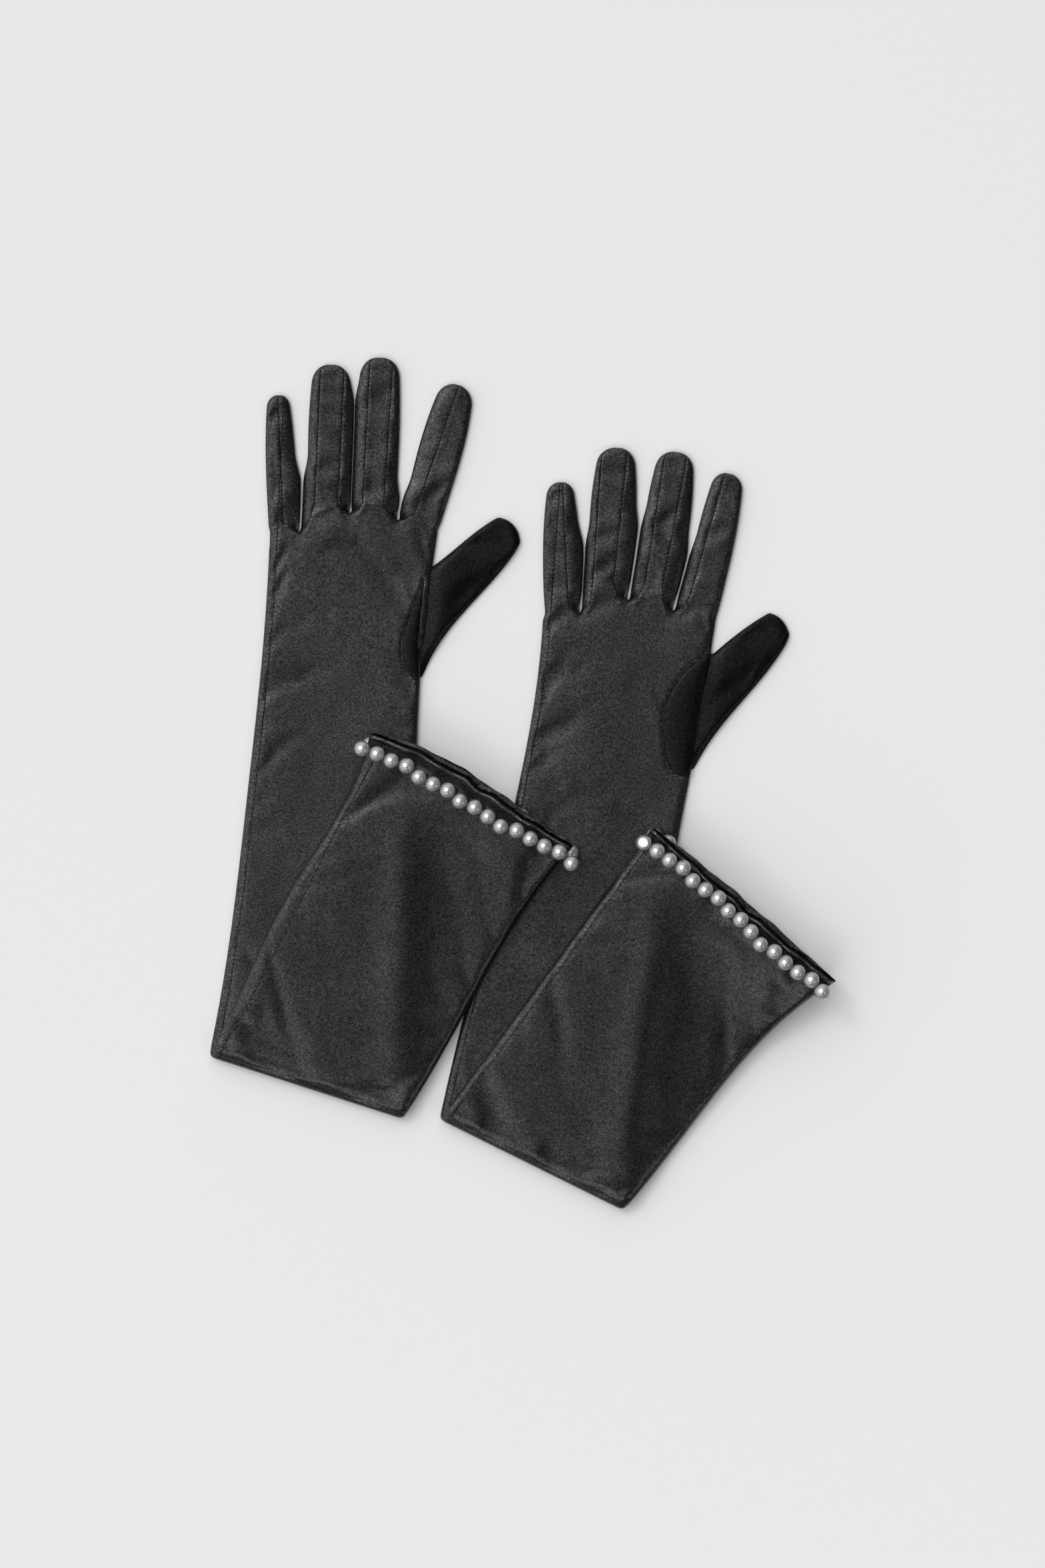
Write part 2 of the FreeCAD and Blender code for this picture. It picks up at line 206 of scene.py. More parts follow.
def points_at(points, fractions):
    """Points at given fractions of a line's length."""
    far = length_along(points)
    return np.stack([np.interp(np.asarray(fractions) * far[-1], far, points[:, k]) for k in range(3)], axis=1)


def four_corners(loop, reach=5.0, apart=25.0):
    """A four-sided loop, evenly stepped, and the places of its corners."""
    closed = np.vstack((loop, loop[:1]))
    count = int(length_along(closed)[-1] / 0.5)
    even = points_at(closed, np.linspace(0, 1, count, endpoint=False))
    window = int(reach / 0.5)
    behind = even - np.roll(even, window, axis=0)
    ahead = np.roll(even, -window, axis=0) - even
    straightness = np.sum(unit_rows(behind) * unit_rows(ahead), axis=1)
    found = []
    for index in np.argsort(straightness):
        if all(np.linalg.norm(even[index] - even[other]) > apart for other in found):
            found.append(int(index))
        if len(found) == 4:
            break
    return even, found


def side_between(even, start, end):
    """The shorter way round a loop between two of its points."""
    count = len(even)
    ahead = [(start + k) % count for k in range((end - start) % count + 1)]
    back = [(start - k) % count for k in range((start - end) % count + 1)]
    return even[ahead if len(ahead) <= len(back) else back]


def centres(name):
    """The middle of each separate solid in a node."""
    mesh = bmesh.new()
    mesh.from_mesh(NODES[name].data)
    bmesh.ops.remove_doubles(mesh, verts=mesh.verts, dist=2e-6)
    seen, found = set(), []
    for start in mesh.verts:
        if start in seen:
            continue
        stack, island = [start], []
        seen.add(start)
        while stack:
            vertex = stack.pop()
            island.append(vertex.co)
            for edge in vertex.link_edges:
                other = edge.other_vert(vertex)
                if other not in seen:
                    seen.add(other)
                    stack.append(other)
        coords = np.array(island) / MM
        found.append(((coords.min(axis=0) + coords.max(axis=0)) / 2, coords))
    mesh.free()
    return found


# ---- the plan of a glove -------------------------------------------------
class Finger:
    """A finger's outline and seams as offsets along its bend axis."""

    def __init__(self, side, name):
        self.name = name
        self.place, self.axis, self.along = joint_frame(f"{side}_{name}_bend")
        main = f"{side}_{name}_finger"
        strips = [strip for strip in ("outer", "inner") if f"{side}_{name}_{strip}_fourchette" in NODES]
        self.strips = strips
        whole = tree_of([main] + [f"{side}_{name}_{strip}_fourchette" for strip in strips])
        panel = tree_of([main])
        tips = [hit(whole, self.at(FAR, offset), -self.along) for offset in np.linspace(-9, 9, 37)]
        self.length = max(float((tip - self.place) @ self.along) for tip in tips if tip is not None)
        straight = np.linspace(1.4, self.length - TIP_ROUND, int((self.length - TIP_ROUND) / ROW_STEP))
        tip = self.length - TIP_ROUND * (1 - np.sin(np.linspace(0, math.pi / 2, 10)))
        tip[-1] = self.length - 0.12
        self.stations = np.concatenate((straight, tip[1:]))
        self.rows = [list(self.columns(whole, panel, s)) for s in self.stations]

    def at(self, s, offset, height=MIDDLE):
        point = self.place + self.along * s + self.axis * offset
        return np.array((point[0], point[1], height))

    def edge(self, column):
        """The plan points of one seam or outline, from base to tip."""
        return np.array([self.at(s, row[column]) for s, row in zip(self.stations, self.rows)])

    def block(self):
        """The plan points of every row and column."""
        found = []
        for s, row in zip(self.stations, self.rows):
            fractions = column_fractions(self.strips, *row)
            found.append([self.at(s, mix(row[0], row[3], fraction)) for fraction in fractions])
        return np.array(found)

    def wall(self, tree, s, sign, height=MIDDLE):
        """The offset of a tree's wall at station s, met from outside on one side."""
        place = hit(tree, self.at(s, -sign * FAR, height), self.axis * sign)
        return None if place is None else float((place - self.place) @ self.axis)

    def columns(self, whole, panel, s):
        """Offsets of the outline and of both seams at one station."""
        outer, inner = self.wall(whole, s, 1), self.wall(whole, s, -1)
        seam_outer, seam_inner = self.wall(panel, s, 1, SKIN), self.wall(panel, s, -1, SKIN)
        width = inner - outer
        if seam_outer is None:
            seam_outer, seam_inner = self.last[0] * width + outer, self.last[1] * width + outer
        self.last = ((seam_outer - outer) / width, (seam_inner - outer) / width)
        return outer, seam_outer, seam_inner, inner


def close_gap(here, there, floor, crotch, touch):
    """Brings two fingers' facing edges together as far up as they touch; returns the line they meet on."""
    up = unit(here.along + there.along)
    across = np.cross(up, UP)
    lines = (here.edge(3), there.edge(0))
    drift = crotch - (lines[0][0] + lines[1][0]) / 2
    drift = drift - up * float(drift @ up)
    turns = ((here, 3, *lines, TOUCH_LAP), (there, 0, *lines[::-1], -TOUCH_LAP))
    for finger, column, own, other, lap in turns:
        heights = (other - floor) @ up
        for index, point in enumerate(own):
            height = float((point - floor) @ up)
            facing = np.array([np.interp(height, heights, other[:, k]) for k in range(3)])
            lean = drift * max(0.0, 1 - height / (touch + OPENING / 2)) ** 1.5
            move = float(((facing - point) / 2 + lean) @ across) / float(finger.axis @ across)
            share = float(1 - smooth_step((height - touch) / OPENING))
            finger.rows[index][column] += share * (move + lap)
    met = here.edge(3)
    return met[(met - floor) @ up < touch + OPENING * 0.4]


def cup_share(distance, width):
    """How far the side of a sewn U has risen at a distance from its bottom."""
    return 1 - np.sqrt(1 - np.clip(distance / width, 0, 1) ** 2)


def column_fractions(strips, outer, seam_outer, seam_inner, inner):
    """Places of a finger's columns, as fractions of its width."""
    width = inner - outer
    flank = min(SEAM_FLANK / width, 0.12)
    low = max((seam_outer - outer) / width, 2.2 * flank) if "outer" in strips else 0.0
    high = min((seam_inner - outer) / width, 1 - 2.2 * flank) if "inner" in strips else 1.0
    high = max(high, low + 4 * flank)
    places = []
    if "outer" in strips:
        places += [0.0, low * 0.5, low - flank, low, low + flank]
    panel_cells = 5 if len(strips) == 2 else 8
    start = low + flank if "outer" in strips else 0.0
    end = high - flank if "inner" in strips else 1.0
    panel = list(np.linspace(start, end, panel_cells + 1))
    places += panel[1:] if "outer" in strips else panel
    if "inner" in strips:
        places += [high, high + flank, (1 + high) / 2, 1.0]
    return np.array(places)


def column_tags(strips):
    """Which part each of a finger's cells belongs to."""
    tags = ["outer"] * 3 if "outer" in strips else []
    panel_cells = 5 if len(strips) == 2 else 8
    tags += ["panel"] * (panel_cells + ("outer" in strips) + ("inner" in strips))
    return tags + (["inner"] * 3 if "inner" in strips else [])


def fit_plane(points):
    """The level and slopes of z = a + b x + c y through points."""
    table = np.column_stack((np.ones(len(points)), points[:, 0], points[:, 1]))
    return np.linalg.lstsq(table, points[:, 2], rcond=None)[0]


def plane_height(plane, points):
    points = np.asarray(points)
    return plane[0] + plane[1] * points[..., 0] + plane[2] * points[..., 1]


def skins(name):
    """Planes through the top and the bottom of a node."""
    tree = tree_of([name])
    low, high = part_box(name)
    tops, bottoms = [], []
    for x in np.linspace(low.x, high.x, 30) / MM:
        for y in np.linspace(low.y, high.y, 30) / MM:
            top, bottom = hit(tree, (x, y, FAR), (0, 0, -1)), hit(tree, (x, y, -FAR), (0, 0, 1))
            if top is not None:
                tops.append(top)
                bottoms.append(bottom)
    return tuple(fit_trimmed(np.array(points)) for points in (tops, bottoms))


def fit_trimmed(points):
    """A plane fitted twice, the second time without strays."""
    plane = fit_plane(points)
    for _ in range(3):
        error = np.abs(points[:, 2] - plane_height(plane, points))
        plane = fit_plane(points[error < np.quantile(error, 0.8) + 0.01])
    return plane


def level(point, height=MIDDLE):
    return np.array((point[0], point[1], height))


def mix(first, second, share):
    return first + (second - first) * share


def sorted_corners(even, corners, key):
    """Four corners as near left, near right, far left, far right."""
    order = sorted(corners, key=lambda index: key(even[index]))
    near = sorted(order[:2], key=lambda index: even[index][0])
    far = sorted(order[2:], key=lambda index: even[index][0])
    return near + far


def coons(near, far, left, right, near_u, far_u, stations):
    """Rows of points filling four border lines; near and far hold the column points."""
    rows = []
    left, right = np.array(left), np.array(right)
    calm_left, calm_right = eased(left), eased(right)
    for index, t in enumerate(stations):
        u = mix(near_u, far_u, t)[:, None]
        row = mix(near, far, t)
        row = row + (1 - u) * (calm_left[index] - row[0]) + u * (calm_right[index] - row[-1])
        row = row + (1 - u) ** NOTCH_FADE * (left[index] - calm_left[index])
        row = row + u ** NOTCH_FADE * (right[index] - calm_right[index])
        rows.append(row)
    return np.array(rows)


def eased(line, window=15):
    """A border line with its sharp turns smoothed out, ends kept."""
    straight = mix(line[0], line[-1], np.linspace(0, 1, len(line))[:, None])
    padded = np.pad(line - straight, ((window, window), (0, 0)), mode="edge")
    kernel = np.hanning(2 * window + 3)[1:-1]
    kernel /= kernel.sum()
    smooth = np.stack([np.convolve(padded[:, k], kernel, mode="valid") for k in range(3)], axis=1)
    fade = np.minimum(1.0, np.minimum(np.arange(len(line)), np.arange(len(line))[::-1]) / 8)[:, None]
    return straight + smooth * fade


def grown(left, right):
    """Two facing border lines, each moved out by what smoothing will take off."""
    across = unit_rows(right - left)
    return left - across * GROWTH, right + across * GROWTH


def bridged(line, outward):
    """A border line with its narrow notches bridged by straight runs."""
    along = length_along(line)
    offset = (line - line[0]) @ outward
    filled = offset.copy()
    for middle in range(1, len(line) - 1):
        for first in range(max(0, middle - NOTCH_REACH), middle):
            for last in range(middle + 1, min(len(line), middle + NOTCH_REACH)):
                share = (along[middle] - along[first]) / (along[last] - along[first])
                filled[middle] = max(filled[middle], mix(offset[first], offset[last], share))
    return line + (filled - offset)[:, None] * outward


class Plan:
    """Everything about one glove's outline, as rows of plan points."""

    def __init__(self, side):
        self.side = side
        self.fingers = [Finger(side, name) for name in FINGERS]
        self.hand_tree = tree_of([f"{side}_hand_trank", f"{side}_thumb_gusset"])
        self.sleeve_top, self.sleeve_bottom = skins(f"{side}_folded_sleeve")
        self.lay_fingers()
        self.lay_hand()
        self.lay_arm()
        self.lay_sleeve()
        self.lay_thumb()

    def lay_fingers(self):
        """The fingers' rows, closed together at their roots and joined to the hand at each crotch."""
        fingers = self.fingers
        crotches, cups, self.creases = [], [], []
        pairs = zip(fingers, fingers[1:], TOUCHING[self.side], CROTCH_LIFT[self.side])
        for here, there, touch, lift in pairs:
            gap = (here.edge(3)[0] + there.edge(0)[0]) / 2
            up = unit(here.along + there.along)
            floor = level(hit(self.hand_tree, gap, -up))
            first, last = here.edge(2)[0], there.edge(1)[0]
            across = np.cross(up, UP)
            shift = float(((first + last) / 2 - floor) @ across)
            crotches.append(floor + across * shift + up * lift)
            cups.append(float(np.clip(abs((last - first) @ across) / 2, *CUP_WIDTHS)))
            crease = close_gap(here, there, floor, crotches[-1], touch)
            self.creases.append(np.vstack((crotches[-1][None], crease)))
        for finger in fingers:
            for row in finger.rows:
                row[0] -= GROWTH
                row[3] += GROWTH
        first, last = fingers[0], fingers[-1]
        start = level(hit(self.hand_tree, crotches[0] - first.axis * FAR, first.axis))
        end = level(hit(self.hand_tree, crotches[-1] + last.axis * FAR, -last.axis))
        self.crotches = crotches
        ends = [start] + crotches + [end]
        cups = [CUP_WIDTHS[0]] + cups + [CUP_WIDTHS[0]]
        self.blocks = []
        for finger, left, right, left_cup, right_cup in zip(fingers, ends, ends[1:], cups, cups[1:]):
            block = finger.block()
            width = float(np.linalg.norm(right - left))
            fractions = column_fractions(finger.strips, 0.0, left_cup, width - right_cup, width)
            rise = 1.0
            sides = (("outer", fractions * width, left_cup), ("inner", (1 - fractions) * width, right_cup))
            for strip, reach, cup in sides:
                slope = cup_share(reach, cup) if strip in finger.strips else smooth_step(reach / width * 2)
                rise = rise * slope
            base = mix(left, right, fractions[:, None]) + finger.along * CROTCH_RISE * rise[:, None]
            root = [mix(base, block[0], k / ROOT_ROWS) for k in range(ROOT_ROWS)]
            self.blocks.append(np.concatenate((root, block)))

    def lay_hand(self):
        """The hand's rows, from the fingers down to the wrist."""
        side = self.side
        even, corners = four_corners(section(f"{side}_arm_trank", (0, 0, SKIN), (0, 0, 1)))
        fold_l, fold_r, wrist_l, wrist_r = sorted_corners(even, corners, lambda point: point[1])
        self.arm_outline = (even, fold_l, fold_r, wrist_l, wrist_r)
        top = np.concatenate([self.blocks[0][0]] + [block[0][1:] for block in self.blocks[1:]])
        start, end = level(even[wrist_l]), level(even[wrist_r])
        self.width_u = np.linspace(0, 1, len(top))
        across = unit(end - start)
        stations = np.linspace(0, 1, int(np.linalg.norm(start - top[0]) / ROW_STEP))
        left, right = [top[0]], [top[-1]]
        for t in stations[1:-1]:
            left.append(level(hit(self.hand_tree, mix(top[0], start, t) - across * 40, across)))
            right.append(level(hit(self.hand_tree, mix(top[-1], end, t) + across * 70, -across)))
        left.append(start)
        right.append(end)
        left = np.array(left) - across * GROWTH
        right = bridged(np.array(right), across) + across * GROWTH
        top[0], top[-1] = left[0], right[0]
        wrist = mix(left[-1], right[-1], self.width_u[:, None])
        far = length_along(top)
        self.hand = coons(top, wrist, left, right, far / far[-1], self.width_u, stations)

    def lay_arm(self):
        """The arm's rows, from the wrist down to the fold."""
        even, fold_l, fold_r, wrist_l, wrist_r = self.arm_outline
        left, right = side_between(even, wrist_l, fold_l), side_between(even, wrist_r, fold_r)
        stations = np.linspace(0, 1, int(length_along(left)[-1] / (ROW_STEP * 1.15)))
        fold = points_at(side_between(even, fold_l, fold_r), self.width_u)
        left, right = points_at(left, stations), points_at(right, stations)
        for line in (left, right, fold):
            line[:, 2] = MIDDLE
        left, right = grown(left, right)
        left[0], right[0] = self.hand[-1][0], self.hand[-1][-1]
        fold = points_at(np.vstack((left[-1:], fold[1:-1], right[-1:])), self.width_u)
        self.arm = coons(self.hand[-1], fold, left, right, self.width_u, self.width_u, stations)

    def lay_sleeve(self):
        """The folded sleeve's rows, from the fold up to the cuff, finer at the cuff."""
        side, top = self.side, self.sleeve_top
        loop = section(f"{side}_folded_sleeve", (0, 0, top[0] - 0.3), (-top[1], -top[2], 1))
        even, corners = four_corners(loop)
        fold_l, fold_r, cuff_l, cuff_r = sorted_corners(even, corners, lambda point: point[2])
        left, right = side_between(even, fold_l, cuff_l), side_between(even, fold_r, cuff_r)
        reach = length_along(left)[-1]
        coarse = np.linspace(0, 1 - CUFF_FINE / reach, int((reach - CUFF_FINE) / ROW_STEP))
        fine = np.linspace(1 - CUFF_FINE / reach, 1, int(CUFF_FINE / CUFF_STEP))
        stations = np.concatenate((coarse, fine[1:]))
        self.to_cuff = (1 - stations) * reach
        fold = points_at(side_between(even, fold_l, fold_r), self.width_u)
        cuff = points_at(side_between(even, cuff_l, cuff_r), self.width_u)
        left, right = points_at(left, stations), points_at(right, stations)
        for line in (left, right, fold, cuff):
            line[:, 2] = MIDDLE
        left, right = grown(left, right)
        across = unit(right[0] - left[0])
        left -= across * (SWELL[side] * np.sin(math.pi * stations) ** 0.7)[:, None]
        for line in (fold, cuff):
            line[0] -= across * GROWTH
            line[-1] += across * GROWTH
        self.sleeve = coons(fold, cuff, left, right, self.width_u, self.width_u, stations)

    def lay_thumb(self):
        """The thumb's rows, from the bend to the tip, and the gusset's two long edges."""
        side = self.side
        self.thumb_place, self.thumb_axis, self.thumb_along = joint_frame(f"{side}_thumb_bend")
        even, corners = four_corners(section(f"{side}_thumb_sheath", (0, 0, SKIN), (0, 0, 1)), apart=12)
        order = sorted(corners, key=lambda index: float((even[index] - self.thumb_place) @ self.thumb_along))
        base = sorted(order[:2], key=lambda index: float(even[index] @ self.thumb_axis))
        tip = sorted(order[2:], key=lambda index: float(even[index] @ self.thumb_axis))
        across = np.linspace(0, 1, THUMB_COLUMNS)
        near = points_at(side_between(even, base[0], base[1]), across)
        far = points_at(side_between(even, tip[0], tip[1]), across)
        sides = [side_between(even, base[k], tip[k]) for k in range(2)]
        stations = np.linspace(0, 1, int(length_along(sides[0])[-1] / ROW_STEP))
        sides = [points_at(line, stations) for line in sides]
        for line in [near, far] + sides:
            line[:, 2] = MIDDLE
        self.thumb = coons(near, far, sides[0], sides[1], across, across, stations)
        even, corners = four_corners(section(f"{side}_thumb_gusset", (0, 0, SKIN), (0, 0, 1)))
        low, high = sorted(corners[:2])
        ways = [even[low:high + 1], np.vstack((even[high:], even[:low + 1]))[::-1]]
        self.gusset = sorted(ways, key=lambda line: line[:, 0].min())


# ---- the cloth ------------------------------------------------------------
def profile(share):
    """A quarter-round rise from an outline to the flat of a sheet."""
    share = np.clip(share, 0.0, 1.0)
    return np.sqrt(1 - (1 - share) ** 2)


def smooth_step(value):
    value = np.clip(value, 0.0, 1.0)
    return value * value * (3 - 2 * value)


def dense(line, step=0.3):
    count = max(2, int(length_along(np.asarray(line))[-1] / step))
    return points_at(np.asarray(line), np.linspace(0, 1, count))


def near_tree(lines):
    """A nearest-point tree over plan lines."""
    points = np.concatenate([dense(line) for line in lines])
    tree = kdtree.KDTree(len(points))
    for index, point in enumerate(points):
        tree.insert((point[0], point[1], 0), index)
    tree.balance()
    return tree, points


def distance_to(lines, points):
    """The plan distance from each point to the nearest of some lines."""
    tree, _ = near_tree(lines)
    return np.array([tree.find((point[0], point[1], 0))[2] for point in points])


class Cloth:
    """Points and four-sided cells of a glove; every point knows its sheet and zone."""

    def __init__(self):
        self.points, self.layers, self.zones = [], [], []
        self.cells, self.parts, self.names = [], [], []

    def part(self, name):
        if name not in self.names:
            self.names.append(name)
        return self.names.index(name)

    def add_points(self, points, layers, zone):
        first = len(self.points)
        self.points += [np.array(point, dtype=float) for point in points]
        self.layers += list(layers)
        self.zones += [zone] * len(points)
        return list(range(first, first + len(points)))

    def add_row(self, row, zone, edges=(True, True), closed=False):
        """One row's upper and lower points; outline points serve both sheets."""
        count = len(row)
        shared = [closed or (k == 0 and edges[0]) or (k == count - 1 and edges[1]) for k in range(count)]
        upper = self.add_points(row, [0.5 if both else 1.0 for both in shared], zone)
        lower = list(upper)
        for k in range(count):
            if not shared[k]:
                lower[k] = self.add_points([row[k]], [0.0], zone)[0]
        return upper, lower

    def add_rows(self, rows, zone, tags, start=None, closed=False, down=False):
        """A block of rows, joined to a row that is already there when start is given."""
        made = []
        for index, row in enumerate(rows):
            if index == 0 and start is not None:
                made.append(start)
            else:
                made.append(self.add_row(row, zone, closed=closed and index == len(rows) - 1))
        self.join(made, tags, down)
        return made

    def join(self, made, tags, down=False):
        """Cells between rows, facing outwards; down says that the rows run towards the fold."""
        for (upper, lower), (upper_next, lower_next) in zip(made, made[1:]):
            for k in range(len(upper) - 1):
                tag = self.part(tags[k] if isinstance(tags, list) else tags)
                above = (upper[k], upper[k + 1], upper_next[k + 1], upper_next[k])
                below = (lower[k], lower_next[k], lower_next[k + 1], lower[k + 1])
                self.cell(above[::-1] if down else above, tag)
                self.cell(below[::-1] if down else below, tag)

    def cell(self, corners, tag):
        self.cells.append(corners)
        self.parts.append(tag)


def finger_part_names(finger):
    """The part that each of a finger's cells belongs to."""
    names = {"panel": f"{finger.name}_sheath", "outer": f"{finger.name}_outer_strip",
             "inner": f"{finger.name}_inner_strip"}
    return [names[tag] for tag in column_tags(finger.strips)]


def build_cloth(plan):
    """The points and cells of a glove's fingers, hand and arm, still flat, and the arm's rows."""
    cloth = Cloth()
    base_upper, base_lower = [], []
    for finger, block in zip(plan.fingers, plan.blocks):
        if base_upper:
            upper, lower = cloth.add_row(block[0][1:], "flat", edges=(False, True))
            start = ([base_upper[-1]] + upper, [base_lower[-1]] + lower)
            base_upper, base_lower = base_upper + upper, base_lower + lower
        else:
            start = cloth.add_row(block[0], "flat")
            base_upper, base_lower = list(start[0]), list(start[1])
        cloth.add_rows(block, "flat", finger_part_names(finger), start, closed=True)
    hand = cloth.add_rows(plan.hand, "flat", "hand", (base_upper, base_lower), down=True)
    arm = cloth.add_rows(plan.arm, "flat", "arm", hand[-1], down=True)
    return cloth, arm


def flat_heights(plan, cloth):
    """Lifts the flat zone's points to their sheets, rounded over at the outline."""
    lines = []
    for block in plan.blocks:
        lines += [block[:, 0], block[:, -1], block[-1]]
    lines += [plan.hand[:, 0], plan.hand[:, -1], plan.arm[:, 0], plan.arm[:, -1]]
    tree, _ = near_tree(lines)
    for point, layer, zone in zip(cloth.points, cloth.layers, cloth.zones):
        if zone != "flat":
            continue
        rise = 0.0 if layer == 0.5 else float(profile(tree.find((point[0], point[1], 0))[2] / EDGE_ROUND))
        top, bottom = mix(EDGE_LIFT, FLAT_TOP, rise), mix(EDGE_LIFT, FLAT_BOTTOM, min(1.0, rise * 1.2))
        point[2] = top if layer == 1.0 else bottom if layer == 0.0 else EDGE_LIFT


RUFFLES = {   # height of the cuff's ruffle in mm, then the size, pitch and start of each of its waves
    "front": (0.6, ((1.0, 31.0, 0.7), (0.6, 53.0, 2.0))),
    "rise": (0.6, ((1.0, 41.0, 1.0),)),
    "back": (0.4, ((1.0, 27.0, 2.7), (0.5, 61.0, 0.0))),
}


def ruffle(kind, u):
    """One of the cuff's ruffles at a share of the way across it, fading out at both ends."""
    height, waves = RUFFLES[kind]
    wave = sum(size * math.sin(u * pitch + start) for size, pitch, start in waves)
    return height * wave * math.sin(math.pi * u)


def add_sleeve(plan, cloth):
    """The folded sleeve with its open, ruffled cuff; returns its rows and the way the cuff faces."""
    rows = [cloth.add_row(row, "sleeve") for row in plan.sleeve]
    edges, _ = near_tree([plan.sleeve[:, 0], plan.sleeve[:, -1]])
    out = unit(plan.sleeve[-1].mean(axis=0) - plan.sleeve[-6].mean(axis=0))
    for (upper, lower), to_cuff in zip(rows, plan.to_cuff):
        near_cuff = float(smooth_step(1 - to_cuff / CUFF_BEND))
        for k, u in enumerate(plan.width_u):
            for index in {upper[k], lower[k]}:
                point, layer = cloth.points[index], cloth.layers[index]
                top = float(plane_height(plan.sleeve_top, point)) - SHEET_INSET
                bottom = float(plane_height(plan.sleeve_bottom, point)) + SHEET_INSET
                edge = mix(bottom, top, 0.45)
                rise = float(profile(edges.find((point[0], point[1], 0))[2] / SLEEVE_ROUND))
                if layer == 1.0:
                    point[2] = mix(edge, top, rise)
                    point -= out * MOUTH_GAP * math.sin(math.pi * u) ** 0.6 * near_cuff
                    point += out * ruffle("front", u) * near_cuff
                    point[2] += ruffle("rise", u) * near_cuff
                elif layer == 0.0:
                    point[2] = mix(edge, bottom, rise)
                    point += out * ruffle("back", u) * near_cuff
                else:
                    point[2] = edge
    plan.front_edge = np.array([cloth.points[index] for index in rows[-1][0]])
    return rows, out


def add_roll(plan, cloth, arm, rows):
    """The turned-over fold: the arm's lower sheet goes round the outside, its upper sheet inside."""
    place, _, along = joint_frame(f"{plan.side}_arm_unfold")
    start = (arm[-1][1], arm[-1][0])
    roll = [start]
    for share in np.arange(1, ROLL_STEPS) / ROLL_STEPS:
        turned = []
        for near_row, far_row in zip(start, rows[0]):
            line = []
            for a, b in zip(near_row, far_row):
                first, last = cloth.points[a], cloth.points[b]
                reach = mix(abs(place[2] - first[2]), abs(last[2] - place[2]), share)
                point = mix(first, last, share) - along * reach * math.sin(math.pi * share)
                point[2] = place[2] - reach * math.cos(math.pi * share)
                line.append(point)
            turned.append(line)
        outer, inner = turned
        between = len(outer) - 2
        outer_ids = cloth.add_points(outer, [0.5] + [1.0] * between + [0.5], "roll")
        inner_ids = cloth.add_points(inner[1:-1], [0.0] * between, "roll")
        roll.append((outer_ids, [outer_ids[0]] + inner_ids + [outer_ids[-1]]))
    roll.append(rows[0])
    cloth.join(roll, "fold")
    cloth.join(rows, "sleeve")


def add_hem(plan, cloth, rows, out):
    """The hem turned in round the cuff's open edge."""
    across = unit(plan.sleeve[-1][-1] - plan.sleeve[-1][0])

    def ids_round(row):
        return list(row[0]) + list(row[1][-2:0:-1])

    def ring_of(row, push, inward):
        made = []
        for k, index in enumerate(ids_round(row)):
            point, layer = cloth.points[index].copy(), cloth.layers[index]
            if layer == 0.5:
                point += across * inward * (1 if k == 0 else -1)
            else:
                point[2] += inward * (1 if layer == 0.0 else -1)
            made.append(point + out * push)
        return made

    rings = [ring_of(rows[-1], HEM_BULGE, HEM_THICK * share) for share in (0.25, 0.75)]
    rings += [ring_of(rows[-1 - k], 0.0, HEM_THICK) for k in range(int(np.sum(plan.to_cuff < HEM_DEPTH)) + 1)]
    before = ids_round(rows[-1])
    tag = cloth.part("hem")
    for ring in rings:
        ids = cloth.add_points(ring, [0.5] * len(ring), "hem")
        for k in range(len(ids)):
            ahead = (k + 1) % len(ids)
            cloth.cell((before[k], before[ahead], ids[ahead], ids[k]), tag)
        before = ids


def add_thumb(plan, cloth):
    """The thumb's sheath, run in under the hand's edge."""
    along = plan.thumb_along
    tuck = [plan.thumb[0] - along * THUMB_TUCK * share for share in (1.0, 0.66, 0.33)]
    block = np.concatenate((tuck, plan.thumb))
    tree, _ = near_tree([block[:, 0], block[:, -1], block[-1]])
    for upper, lower in cloth.add_rows(block, "thumb", "thumb_sheath", closed=True):
        for index in set(upper) | set(lower):
            point, layer = cloth.points[index], cloth.layers[index]
            clear = float(smooth_step((float((point - plan.thumb_place) @ along) + 1.0) / THUMB_CLEAR))
            rise = 0.0 if layer == 0.5 else float(profile(tree.find((point[0], point[1], 0))[2] / EDGE_ROUND))
            edge = mix(0.6, 1.2, clear)
            sheet = mix(THUMB_BASE[plan.side], THUMB_TOP, clear) if layer == 1.0 else FLAT_BOTTOM
            point[2] = mix(edge, sheet, rise)


def add_gusset(plan, cloth):
    """The oval gusset, crowned, with a rim along its seam and a fall to the thumb's base."""
    tag = cloth.part("thumb_gusset")
    before = None
    for seam, bend in zip(*[points_at(line, np.linspace(0.012, 0.988, GUSSET_ROWS)) for line in plan.gusset]):
        fullness = min(1.0, float(np.linalg.norm(bend - seam)) / GUSSET_FULL)
        line = []
        for u in GUSSET_ACROSS:
            point = mix(seam, bend, u)
            crown = GUSSET_CROWN * fullness * math.sin(math.pi * min(1.0, u * 1.05)) ** 0.6
            drop = GUSSET_DROP[plan.side] * max(0.0, (u - 0.8) / 0.2) ** 2
            point[2] = FLAT_TOP - 0.5 + 0.6 * float(smooth_step(u / 0.05)) + crown - drop
            line.append(point)
        ids = cloth.add_points(line, [1.0] * len(line), "gusset")
        if before is not None:
            for k in range(len(ids) - 1):
                cloth.cell((before[k], ids[k], ids[k + 1], before[k + 1]), tag)
        before = ids


def mesh_object(name, points, cells, parts=None):
    mesh = bpy.data.meshes.new(name)
    mesh.from_pydata([Vector(point) * MM for point in points], [], [list(map(int, cell)) for cell in cells])
    if parts is not None:
        mesh.polygons.foreach_set("material_index", np.array(parts, dtype=np.int32))
    mesh.update()
    obj = bpy.data.objects.new(name, mesh)
    bpy.context.collection.objects.link(obj)
    return obj


